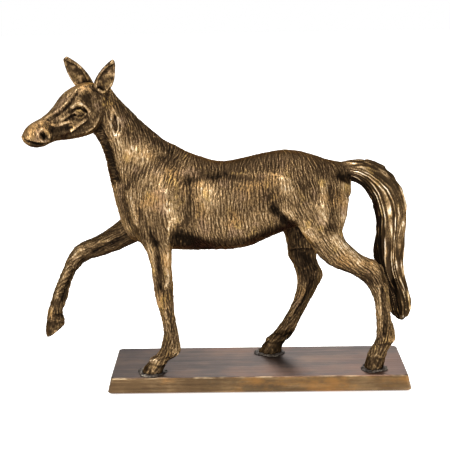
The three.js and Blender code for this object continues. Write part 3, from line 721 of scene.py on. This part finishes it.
def nearLine(points, line, width):
    # closeness to a line of points in the x z plane, 1 on it, with the points that are near enough to matter
    corners = np.array(line, np.float32)
    reach = 2.6 * width
    low, high = corners.min(0) - reach, corners.max(0) + reach
    near = np.flatnonzero((points[:, 0] > low[0]) & (points[:, 0] < high[0])
                          & (points[:, 2] > low[1]) & (points[:, 2] < high[1]))
    spots = points[near][:, [0, 2]]
    best = np.full(len(near), 1e9, np.float32)
    for start, end in zip(corners, corners[1:] if len(corners) > 1 else corners):
        run = end - start
        t = np.clip((spots - start) @ run / max(float(run @ run), 1e-6), 0, 1)
        gap = spots - start - t[:, None] * run
        best = np.minimum(best, (gap * gap).sum(1))
    return near, np.exp(-best / width ** 2)


def pressMarks(points, facing, marks, share, rise, wear, rubbing=1.1):
    # share limits where a mark may act, facing fades it where the skin turns away from the side
    for width, height, rubAndPaintedLight, line in marks.values():
        near, close = nearLine(points, line, width)
        close = close * share[near] * facing[near]
        broken = 0.62 + 0.5 * valueNoise(points[near], 3.2, 9.0)
        rise[near] += height * close
        wear[near] += rubbing * rubAndPaintedLight * close * broken


head = {
    "pivot": (-152, 0, 0),
    "turn": math.radians(32),
    "patches": 0.22,  # how much the wear varies from place to place
    "shade": 0.09,
    # painted light on the top and front of the head
    "paintedTopLight": 0.08,
}


def turnedBack(vectors, turn):
    own = vectors.copy()
    own[:, 0] = vectors[:, 0] * math.cos(turn) + vectors[:, 1] * math.sin(turn)
    own[:, 1] = -vectors[:, 0] * math.sin(turn) + vectors[:, 1] * math.cos(turn)
    return own


hooves = {  # a point on the coronet and the way up the leg, in the x z plane
    "left_foreleg": ((-106, 11.8), (0.16, 0.99)),
    "right_foreleg": ((-213.5, 40.5), (0.06, 1.0)),
    "left_hind_leg": ((119, 14.2), (0.0, 1.0)),
    "right_hind_leg": ((15, 14.0), (0.0, 1.0)),
}


coronet = {  # heights in mm, and what they do to the wear
    "wave": 1.2,
    "band": 0.25,
    "groove": 0.22,
    "bandWear": 0.12,
    "grooveShade": 0.14,
    "hoofGrain": 0.6,
    "hoofPatches": 0.30,
    "hoofShade": 0.12,
}
lumps = (0.35, 0.12)  # mm, the unevenness of the modelled skin, broad and fine


def bell(values, middle, width):
    return np.exp(-((values - middle) / width) ** 2)


def hoofDepth(points, settings):
    # mm below the coronet, for the points of each leg
    depth = np.full(len(points), -99, np.float32)
    for name, (spot, up) in settings.items():
        mask = ownerOf[name]
        depth[mask] = -((points[mask, 0] - spot[0]) * up[0] + (points[mask, 2] - spot[1]) * up[1])
    return depth


def sculpt():
    rise = np.zeros(len(skin), np.float32)
    wear = np.zeros(len(skin), np.float32)
    sideways = smoothStep(np.abs(normals[:, 1]), 0.15, 0.6)
    torso = (1 - isHead) * (1 - ears) * (1 - 0.9 * ownerOf["tail"])
    pressMarks(skin, sideways, torsoMarks, torso, rise, wear, 0.95)
    left = smoothStep(-skin[:, 1], 2, 9)
    right = smoothStep(skin[:, 1], 2, 9)
    rounded = 0.35 + 0.65 * sideways
    pressMarks(skin, rounded, leftMarks, left * torso, rise, wear, 0.75)
    pressMarks(skin, rounded, rightMarks, right * torso, rise, wear, 0.75)
    pivot = np.array(head["pivot"], np.float32)
    own = turnedBack(skin - pivot, head["turn"]) + pivot
    ownNormals = turnedBack(normals, head["turn"])
    pressMarks(own, smoothStep(np.abs(ownNormals[:, 1]), 0.1, 0.5), headMarks, isHead, rise, wear)
    # painted light: the head is made lighter where it faces up and forward
    top = smoothStep(normals[:, 2] - 0.5 * normals[:, 0], 0.5, 1.0)
    patches = head["patches"] * valueNoise(skin, 2.1, 13.0)
    wear += isHead * (patches - head["shade"] + head["paintedTopLight"] * top)
    depth = hoofDepth(skin, hooves)
    # a soft band above the coronet and a groove below it, both a little wavy
    wave = depth + coronet["wave"] * valueNoise(skin, 5.0, 31.0)
    rise += coronet["band"] * bell(wave, -1.0, 1.5) - coronet["groove"] * bell(wave, 1.4, 1.1)
    wear += coronet["bandWear"] * bell(wave, -1.2, 1.6) - coronet["grooveShade"] * bell(wave, 1.4, 1.2)
    hoof = smoothStep(depth, 0, 3)
    upright = skin * np.array([1, 1, 0.35], np.float32)
    rise += hoof * coronet["hoofGrain"] * valueNoise(upright, 2.6, 17.0)
    wear += hoof * (coronet["hoofPatches"] * valueNoise(skin, 3.0, 2.0) - coronet["hoofShade"])
    broad, fine = lumps
    rise += (valueNoise(skin, 9.0) * broad + valueNoise(skin, 4.0, 7.3) * fine) * torso
    return rise, wear, depth


rise, wear, hoofward = sculpt()
skin = skin + normals * rise[:, None]
normals = vertexNormals(skin, skinQuads)
print("muscles, joints and face modelled")


# ---- chased hair

combs = [  # lines along the hair, from root to tip: side, reach in mm, points
    ("both", 12, [(-40, 205), (-42, 180), (-42, 155), (-38, 130)]),
    ("both", 12, [(-60, 200), (-58, 178), (-57, 150)]),
    ("both", 12, [(-20, 205), (-20, 180), (-20, 150), (-16, 128)]),
    ("both", 12, [(0, 207), (1, 185), (2, 160), (6, 138)]),
    ("both", 9, [(18, 210), (19, 190), (20, 170), (24, 155)]),
    ("both", 9, [(32, 212), (34, 195), (38, 178), (46, 160), (58, 142)]),
    ("both", 9, [(50, 214), (52, 196), (55, 180), (62, 162), (72, 145), (86, 128)]),
    ("both", 9, [(66, 208), (66, 190), (66, 172), (68, 158)]),
    ("both", 9, [(82, 204), (84, 188), (83, 172), (80, 156), (86, 144), (98, 130)]),
    ("both", 12, [(-75, 215), (-82, 200), (-86, 184), (-86, 168)]),
    ("both", 10, [(-95, 216), (-100, 200), (-102, 184), (-103, 166)]),
    ("both", 10, [(-112, 202), (-116, 188), (-118, 172), (-116, 156)]),
    ("both", 9, [(-130, 200), (-131, 184), (-129, 168), (-124, 152)]),
    ("both", 9, [(-142, 276), (-138, 262), (-137, 248), (-134, 236)]),
    ("both", 9, [(-128, 262), (-124, 250), (-123, 238), (-124, 226), (-128, 214)]),
    ("both", 9, [(-112, 248), (-109, 238), (-110, 226), (-114, 214)]),
    ("both", 9, [(-96, 236), (-96, 226), (-100, 216)]),
    ("left", 9, [(-105, 158), (-104, 140), (-98, 120), (-96, 97), (-94, 71), (-90, 51), (-89, 42), (-90, 24),
                 (-100, 12)]),
    ("left", 9, [(66, 160), (74, 138), (84, 125), (93, 114), (104, 107), (114, 99), (120, 88), (124, 75),
                 (127, 54), (128, 36), (124, 22), (119, 10)]),
    ("right", 9, [(-112, 150), (-135, 135), (-155, 125), (-172, 118), (-185, 112), (-192, 104), (-200, 88),
                  (-208, 70), (-214, 50), (-215, 36)]),
    ("right", 9, [(48, 150), (47, 128), (46, 112), (50, 98), (54, 88), (52, 72), (46, 58), (40, 46), (30, 28),
                  (18, 10)]),
]
crossWeight = 4.0  # how much more the next ones count than the ones above
crossCombs = [  # short strokes across: side, reach, points, direction in x and z
    ("both", 4.5, [(-147, 200), (-149, 213), (-153, 227), (-159, 241)], (1.0, 0.12)),
    ("right", 4.5, [(-196, 100), (-203, 86), (-209, 72)], (0.75, 0.66)),
]
tailFlow = [  # the middle of the tail from root to tip, each with the tail's width there
    ((79, 202), 8.5), ((92, 202), 10.6), ((103, 201), 12.2), ((112, 197), 14), ((120, 191), 16.2),
    ((128, 182), 16.9), ((133, 171), 17.9), ((136.5, 157), 17.8), ((136.5, 142), 17.1), ((135, 128), 16.6),
    ((134.5, 113), 15.4), ((136.5, 100), 13.3), ((140, 88), 11.8), ((144, 75.5), 11.8), ((146.5, 63), 12.2),
    ((148, 53), 10.8), ((149, 46), 5.3), ((149, 42), 1.5),
]
hair = {
    "depth": 0.24,  # mm
    "spacing": 1.0,
    "length": 7,
    "steps": 6,
    "wander": 0.8,
    "evening": 5,  # rounds of smoothing taken away, which leaves only strokes
    "limit": 2.2,  # no stroke is higher or deeper than this many times the usual one
    "tone": 0.24,
    # how much more or less of it there is than on the trunk
    "lowLegs": 0.3,
    "head": 0.36,
    "ears": 0.25,
    "top": 0.5,
    "hooves": 0.8,
}
tailHair = {
    "strand": 3.9,  # mm from strand to strand
    "depth": 1.9,
    "fineDepth": 0.5,
    "fineSpacing": 1.7,
    "sway": 2.0,  # mm, the even wave of the strands, and then their uneven one
    "wander": 5.0,
    "sunk": 1.3,  # mm, takes back about as much as the strands add
    "parting": 2.2,
    "partingWidth": 2.0,
    "partingLine": [(139, 88), (140.5, 72), (143, 60), (145, 50)],
}


def combDirections(points):
    total = np.zeros_like(points)
    shares = np.full(len(points), 1e-9, np.float32)
    sides = {
        "both": np.ones(len(points), np.float32),
        "left": smoothStep(-points[:, 1], 2, 8),
        "right": smoothStep(points[:, 1], 2, 8),
    }
    strokes = []
    for side, reach, line in combs:
        for start, end in zip(line, line[1:]):
            strokes.append((side, reach, [start, end], (end[0] - start[0], end[1] - start[1]), 1.0))
    for side, reach, line, way in crossCombs:
        for start, end in zip(line, line[1:]):
            strokes.append((side, reach, [start, end], way, crossWeight))
    for side, reach, line, way, weight in strokes:
        near, close = nearLine(points, line, reach)
        close = close * sides[side][near] * weight
        run = math.hypot(*way)
        total[near, 0] += close * way[0] / run
        total[near, 2] += close * way[1] / run
        shares[near] += close
    total /= shares[:, None]
    # skin that no line reaches is combed down
    total[shares < 1e-4] = (0.2, 0, -1)
    total[:, 1] += 0.25 * np.sign(points[:, 1]) * np.abs(normals[:, 0])
    tangent = total - normals * (total * normals).sum(1, keepdims=True)
    return tangent / np.maximum(np.linalg.norm(tangent, axis=1, keepdims=True), 1e-4)


def evened(values, rounds):
    # each point takes the mean of the faces around it, again and again
    count = np.bincount(skinQuads.ravel(), minlength=len(skin))
    for step in range(rounds):
        face = values[skinQuads].mean(1)
        values = sum(np.bincount(skinQuads[:, i], face, len(skin)) for i in range(4)) / count
    return values.astype(np.float32)


def combedHair(settings):
    direction = combDirections(skin)
    drift = np.stack([valueNoise(skin, 7.0, shift) for shift in (0.0, 21.0, 43.0)], axis=1)
    spots = skin + settings["wander"] * drift
    total = np.zeros(len(skin), np.float32)
    for step in np.linspace(-0.5, 0.5, 2 * settings["steps"] + 1):
        fade = 1 - 1.4 * step * step
        total += fade * valueNoise(spots + direction * (step * settings["length"]), settings["spacing"])
    total -= evened(total, settings["evening"])
    return total / total.std()


def tailStrands(settings):
    mask = ownerOf["tail"]
    points = skin[mask]
    line = np.array([spot for spot, width in tailFlow], np.float32)
    widths = np.array([width for spot, width in tailFlow], np.float32)
    lengths = np.concatenate([[0], np.cumsum(np.linalg.norm(np.diff(line, axis=0), axis=1))])
    best = np.full(len(points), 1e9, np.float32)
    along = np.zeros(len(points), np.float32)
    across = np.zeros(len(points), np.float32)
    for i in range(len(line) - 1):
        run = line[i + 1] - line[i]
        size = float(run @ run)
        t = np.clip((points[:, [0, 2]] - line[i]) @ run / size, 0, 1)
        gap = points[:, [0, 2]] - line[i] - t[:, None] * run
        distance = (gap * gap).sum(1)
        closer = distance < best
        best = np.where(closer, distance, best)
        side = (gap[:, 0] * run[1] - gap[:, 1] * run[0]) / math.sqrt(size)
        width = widths[i] + (widths[i + 1] - widths[i]) * t
        across = np.where(closer, side / width * 16, across)
        along = np.where(closer, lengths[i] + t * math.sqrt(size), along)
    place = np.stack([along / 6, across, points[:, 1] * 0.8], axis=1).astype(np.float32)
    bend = settings["sway"] * np.sin(along / 19 + 0.6) + settings["wander"] * valueNoise(place, 6.0, 3.0)
    phase = (across + 0.75 * points[:, 1] + bend) / settings["strand"]
    strand = 1 - np.abs(2 * (phase - np.floor(phase)) - 1) ** 1.7
    which = np.floor(phase)
    height = 0.75 + 0.25 * np.sin(which * 2.4 + along / 26)
    fine = np.stack([along / 14, across + bend, points[:, 1] + bend * 0.3], axis=1).astype(np.float32)
    threads = np.abs(valueNoise(fine, settings["fineSpacing"], 5.0)) * 2
    shape = strand * height * settings["depth"] + threads * settings["fineDepth"]
    # painted shade along the inner edge of the tail; the parting groove is darkened with it
    inner = smoothStep(across, 5, 14)
    spread = np.stack([along / 7, 3 * which, points[:, 1] * 0.5], axis=1).astype(np.float32)
    flecks = np.clip(0.75 + 1.3 * valueNoise(spread, 1.6, 8.0), 0.05, 1.3)
    tone = 0.12 + 1.05 * strand ** 5 * height * flecks + 0.28 * (threads - 0.5)
    # one deep groove near the tip sets off the hindmost lock
    near, close = nearLine(points, settings["partingLine"], settings["partingWidth"])
    parting = np.zeros(len(points), np.float32)
    parting[near] = close
    inner = np.maximum(inner, 0.9 * parting)
    shape = shape - settings["sunk"] - settings["parting"] * parting
    return mask, shape, np.clip(tone, 0, 1.1), inner


def chase():
    strokes = combedHair(hair)
    amount = np.ones(len(skin), np.float32)
    amount += hair["lowLegs"] * (1 - smoothStep(skin[:, 2], 95, 130))
    amount[ownerOf["head"]] = hair["head"]
    amount[isEar] = hair["ears"]
    amount[ownerOf["tail"]] = 0
    top = smoothStep(normals[:, 2], 0.55, 0.9) * (skin[:, 2] > 140)
    amount *= 1 - hair["top"] * top
    amount *= 1 - hair["hooves"] * smoothStep(hoofward, -1, 1)
    relief = np.clip(0.5 + hair["tone"] * strokes * np.clip(amount * 1.3, 0, 1), 0, 1)
    lift = hair["depth"] * np.clip(strokes, -hair["limit"], hair["limit"]) * amount
    mask, tailLift, tailRelief, inner = tailStrands(tailHair)
    root = smoothStep(skin[mask, 0], 86, 98)
    lift[mask] += tailLift * root
    relief[mask] = relief[mask] * (1 - root) + tailRelief * root
    # strand crests are rubbed bright, and the inner edge of the tail gets painted shade
    wear[mask] += (0.5 * smoothStep(tailRelief, 0.5, 1.0) - 0.7 * inner) * root
    return lift, relief


lift, relief = chase()
skin = skin + normals * lift[:, None]
smoothNormals = normals
normals = vertexNormals(skin, skinQuads)

shades = {  # how far swellings and edges are rubbed bright, and how far other places stay dark; under, back and farLegs are painted shade
    "swellings": 0.26,
    "edges": 0.3,
    "earEdges": 0.3,
    "earPatches": 0.4,
    "under": 0.32,
    "back": 0.26,
    "lowLegs": 0.28,
    "ears": 0.34,
    "farLegs": 0.1,
    "trunk": 0.05,
}


def rubbedAndShaded(wear, settings):
    # painted shade: skin that faces down is darkened
    under = smoothStep(-smoothNormals[:, 2], 0.25, 0.85)
    # painted shade: the upper body is darkened where it faces up
    back = smoothStep(smoothNormals[:, 2], 0.25, 0.8) * smoothStep(skin[:, 2], 150, 190)
    lowLegs = 1 - smoothStep(skin[:, 2], 80, 140)
    # painted shade on the legs of the far side
    farLegs = smoothStep(skin[:, 1], 4, 14) * (skin[:, 2] < 150)
    wear = wear + settings["swellings"] * np.clip(convexity, -1.2, 1.2) - settings["under"] * under
    wear = wear - settings["back"] * back * (1 - ears) * (1 - isHead)
    wear = wear - settings["lowLegs"] * lowLegs - settings["ears"] * ears
    wear = wear + settings["earPatches"] * ears * valueNoise(skin, 3.4, 5.0)
    edge = settings["edges"] + settings["earEdges"] * ears
    wear = wear + edge * np.clip(edges - 0.05, -0.4, 0.4)
    return wear - settings["farLegs"] * farLegs - settings["trunk"] * (1 - lowLegs)


wear = rubbedAndShaded(wear, shades)
print("hair and tail chased")


# ---- part the skin into its castings again, each one closed

def openLoops(quads, count):
    starts = quads.ravel()
    ends = np.roll(quads, -1, axis=1).ravel()
    free = ~np.isin(starts * count + ends, ends * count + starts)
    following = {}
    for start, end in zip(starts[free].tolist(), ends[free].tolist()):
        following.setdefault(start, []).append(end)
    loops = []
    while following:
        loop = [next(iter(following))]
        while loop[0] != loop[-1] or len(loop) == 1:
            ways = following[loop[-1]]
            loop.append(ways.pop())
            if not ways:
                del following[loop[-2]]
        loops.append(loop[:-1])
    return loops


def closingFaces(quads, points, flat):
    # triangles over every open loop, turned to match the quads; flat gives the plane for the largest loop
    loops = sorted((loop for loop in openLoops(quads, len(points)) if len(loop) > 2), key=len, reverse=True)
    triangles = []
    for loop in loops:
        outline = points[loop]
        middle = outline.mean(0)
        axes = flat if flat is not None and loop is loops[0] else np.linalg.svd(outline - middle)[2][:2]
        spots = (outline - middle) @ np.asarray(axes, np.float32).T
        following = np.roll(spots, -1, axis=0)
        area = np.sum(spots[:, 0] * following[:, 1] - spots[:, 1] * following[:, 0])
        around = list(range(len(loop)))
        sides = [(i, (i + 1) % len(loop)) for i in around]
        made = delaunay_2d_cdt([Vector(spot.tolist()) for spot in spots], sides, [around], 1, 1e-5)
        for face in made[2]:
            corners = [made[3][i][0] if made[3][i] else None for i in face]
            if None in corners:
                continue
            corners = [loop[i] for i in corners]
            triangles.append(corners[::-1] if area > 0 else corners)
    return triangles


def addPiece(name, points, quads, triangles, fields, shading):
    corners = np.concatenate([quads.ravel(), np.array(triangles, np.int64).ravel()])
    used, index = np.unique(corners, return_inverse=True)
    mesh = bpy.data.meshes.new(name)
    mesh.vertices.add(len(used))
    mesh.vertices.foreach_set("co", toFrame(points[used]).astype(np.float32).ravel())
    mesh.loops.add(len(index))
    mesh.loops.foreach_set("vertex_index", index.astype(np.int32))
    quadStarts = np.arange(len(quads)) * 4
    triangleStarts = len(quads) * 4 + np.arange(len(triangles)) * 3
    mesh.polygons.add(len(quads) + len(triangles))
    mesh.polygons.foreach_set("loop_start", np.concatenate([quadStarts, triangleStarts]).astype(np.int32))
    mesh.update(calc_edges=True)
    for key, values in fields.items():
        layer = mesh.attributes.new(key, "FLOAT", "POINT")
        layer.data.foreach_set("value", values[used].astype(np.float32))
    mesh.polygons.foreach_set("use_smooth", np.ones(len(mesh.polygons), bool))
    mesh.normals_split_custom_set_from_vertices(shading[used].tolist())
    piece = bpy.data.objects.new(name, mesh)
    bpy.context.scene.collection.objects.link(piece)
    return piece


def partCastings():
    splitPlane = {name: ((1, 0, 0), (0, 0, 1)) for name in ("body_left_half", "body_right_half")}
    quadOwner = np.argmin(nearNodes[skinQuads].sum(1), axis=1)
    # the second field is rubbed wear together with painted shade and painted highlights
    fields = {"relief": relief, "wear": wear}
    for i, name in enumerate(casting["nodes"]):
        quads = skinQuads[quadOwner == i]
        caps = closingFaces(quads, skin, splitPlane.get(name))
        piece = addPiece(name + "_cast", skin, quads, caps, fields, normals)
        piece.data.materials.append(finishes["figure"])
        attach(piece, "root")
        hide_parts(name)
        print("  ", name, 2 * len(quads), "triangles")


partCastings()
print("castings parted")


# ---- screws, turned and threaded by a node tree

screw = {
    "Shank Radius": 0.0022,
    "Thread Pitch": 0.0008,
    "Thread Depth": 0.0003,
    "Head Radius": 0.0044,
    "Head Height": 0.004,
    "Chamfer": 0.0005,
    "Socket Radius": 0.0017,
    "Socket Depth": 0.0024,
}


def screwTree(settings):
    tree = bpy.data.node_groups.new("threaded_screw", "GeometryNodeTree")
    tree.interface.new_socket("Geometry", in_out="OUTPUT", socket_type="NodeSocketGeometry")
    ports = {}
    for name in [*settings, "Length"]:
        port = tree.interface.new_socket(name, in_out="INPUT", socket_type="NodeSocketFloat")
        ports[name] = port.identifier
    given = tree.nodes.new("NodeGroupInput").outputs

    def add(kind, options=None, inputs=None, output=0):
        made = tree.nodes.new(kind)
        for key, value in (options or {}).items():
            setattr(made, key, value)
        for key, value in (inputs or {}).items():
            for one in value if isinstance(value, list) else [value]:
                if isinstance(one, bpy.types.NodeSocket):
                    tree.links.new(one, made.inputs[key])
                else:
                    made.inputs[key].default_value = one
        return made.outputs[output]

    def sums(operation, first, second):
        return add("ShaderNodeMath", {"operation": operation}, {0: first, 1: second})

    def rod(sides, radius, bottom, top):
        depth = sums("SUBTRACT", top, bottom)
        bar = add("GeometryNodeMeshCylinder", None, {"Vertices": sides, "Radius": radius, "Depth": depth})
        middle = sums("MULTIPLY", sums("ADD", top, bottom), 0.5)
        place = add("ShaderNodeCombineXYZ", None, {"Z": middle})
        return add("GeometryNodeTransform", None, {"Geometry": bar, "Translation": place})

    headTop = given["Head Height"]
    drum = rod(48, given["Head Radius"], given["Chamfer"], headTop)
    rim = sums("SUBTRACT", given["Head Radius"], given["Chamfer"])
    chamfer = add("GeometryNodeMeshCone", None, {"Vertices": 48, "Radius Bottom": rim,
                                                 "Radius Top": given["Head Radius"],
                                                 "Depth": sums("MULTIPLY", given["Chamfer"], 1.02)})
    shank = rod(32, given["Shank Radius"], sums("MULTIPLY", headTop, 0.9), given["Length"])
    blank = add("GeometryNodeMeshBoolean", {"operation": "UNION"}, {"Mesh 2": [drum, chamfer, shank]})
    socket = rod(6, given["Socket Radius"], -0.001, given["Socket Depth"])
    turned = add("GeometryNodeMeshBoolean", {"operation": "DIFFERENCE"}, {"Mesh 1": blank, "Mesh 2": socket})
    rise = sums("SUBTRACT", sums("SUBTRACT", given["Length"], headTop), given["Thread Pitch"])
    turns = sums("DIVIDE", rise, given["Thread Pitch"])
    helix = add("GeometryNodeCurveSpiral", None, {"Resolution": 20, "Rotations": turns, "Height": rise,
                                                  "Start Radius": given["Shank Radius"],
                                                  "End Radius": given["Shank Radius"]})
    ridge = add("GeometryNodeCurvePrimitiveCircle", None, {"Resolution": 4, "Radius": given["Thread Depth"]})
    thread = add("GeometryNodeCurveToMesh", None, {"Curve": helix, "Profile Curve": ridge, "Fill Caps": True})
    start = sums("ADD", headTop, sums("MULTIPLY", given["Thread Pitch"], 0.5))
    place = add("ShaderNodeCombineXYZ", None, {"Z": start})
    thread = add("GeometryNodeTransform", None, {"Geometry": thread, "Translation": place})
    joined = add("GeometryNodeJoinGeometry", None, {"Geometry": [turned, thread]})
    realized = add("GeometryNodeRealizeInstances", None, {"Geometry": joined})
    dressed = add("GeometryNodeSetMaterial", None, {"Geometry": realized, "Material": finishes["steel"]})
    tree.links.new(dressed, tree.nodes.new("NodeGroupOutput").inputs[0])
    return tree, ports


def plainMesh(maker, name):
    # the evaluated result of an object's modifiers as a new object
    bpy.context.view_layer.update()
    evaluated = maker.evaluated_get(bpy.context.evaluated_depsgraph_get())
    mesh = bpy.data.meshes.new_from_object(evaluated)
    maker.modifiers.clear()
    bpy.data.objects.remove(maker)
    mesh.validate()
    piece = bpy.data.objects.new(name, mesh)
    bpy.context.scene.collection.objects.link(piece)
    return piece


def addScrew(node, settings):
    low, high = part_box(node)
    length = high.z - low.z
    tree, ports = screwTree(settings)
    maker = bpy.data.objects.new(node + "_maker", bpy.data.meshes.new(node + "_maker"))
    modifier = maker.modifiers.new("turning", "NODES")
    modifier.node_group = tree
    for name, value in {**settings, "Length": length}.items():
        modifier[ports[name]] = value
    bpy.context.scene.collection.objects.link(maker)
    piece = plainMesh(maker, node + "_threaded")
    piece.data.transform(Matrix.Translation(((low.x + high.x) / 2, (low.y + high.y) / 2, low.z)))
    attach(piece, "root")
    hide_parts(node)
    print("  ", node, len(piece.data.polygons), "faces")


for node in nodesEnding("screw"):
    addScrew(node, screw)
print("screws threaded")


# ---- braze that ran out around the hooves

puddle = {
    "voxel": 0.0004,
    "lump": 0.9,  # mm
    "ripple": 0.35,
}


def addPuddle(node, settings):
    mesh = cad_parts[node].data.copy()
    maker = bpy.data.objects.new(node + "_maker", mesh)
    work = bmesh.new()
    work.from_mesh(mesh)
    bmesh.ops.remove_doubles(work, verts=work.verts, dist=1e-6)
    work.to_mesh(mesh)
    work.free()
    remesh = maker.modifiers.new("even", "REMESH")
    remesh.mode = "VOXEL"
    remesh.voxel_size = settings["voxel"]
    bpy.context.scene.collection.objects.link(maker)
    piece = plainMesh(maker, node + "_run")
    points = np.zeros(len(piece.data.vertices) * 3, np.float32)
    piece.data.vertices.foreach_get("co", points)
    points = toDeck(points.reshape(-1, 3)).astype(np.float32)
    facing = np.zeros(len(points) * 3, np.float32)
    piece.data.vertices.foreach_get("normal", facing)
    facing = facing.reshape(-1, 3)
    lift = settings["lump"] * valueNoise(points, 2.4, 3.0)
    lift = lift + settings["ripple"] * valueNoise(points, 0.9, 11.0)
    floor = points[:, 2].min()
    points += facing * (lift * smoothStep(points[:, 2] - floor, 0.02, 0.6) - 0.1)[:, None]
    points[:, 2] = np.maximum(points[:, 2], floor)
    piece.data.vertices.foreach_set("co", toFrame(points).astype(np.float32).ravel())
    piece.data.polygons.foreach_set("use_smooth", np.ones(len(piece.data.polygons), bool))
    piece.data.materials.clear()
    piece.data.materials.append(finishes["braze"])
    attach(piece, "root")
    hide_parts(node)


for node in nodesEnding("braze"):
    addPuddle(node, puddle)
print("braze run out")


# ---- the pieces that keep their shape from the frame

def refinish(name, material):
    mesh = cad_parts[name].data
    for i in range(max(1, len(mesh.materials))):
        if len(mesh.materials) <= i:
            mesh.materials.append(material)
        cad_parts[name].material_slots[i].material = material


for word, finish in (("plinth", "plinth"), ("washer", "steel"), ("felt_foot", "felt")):
    for name in nodesEnding(word):
        refinish(name, finishes[finish])
print("plinth, washers and feet finished")
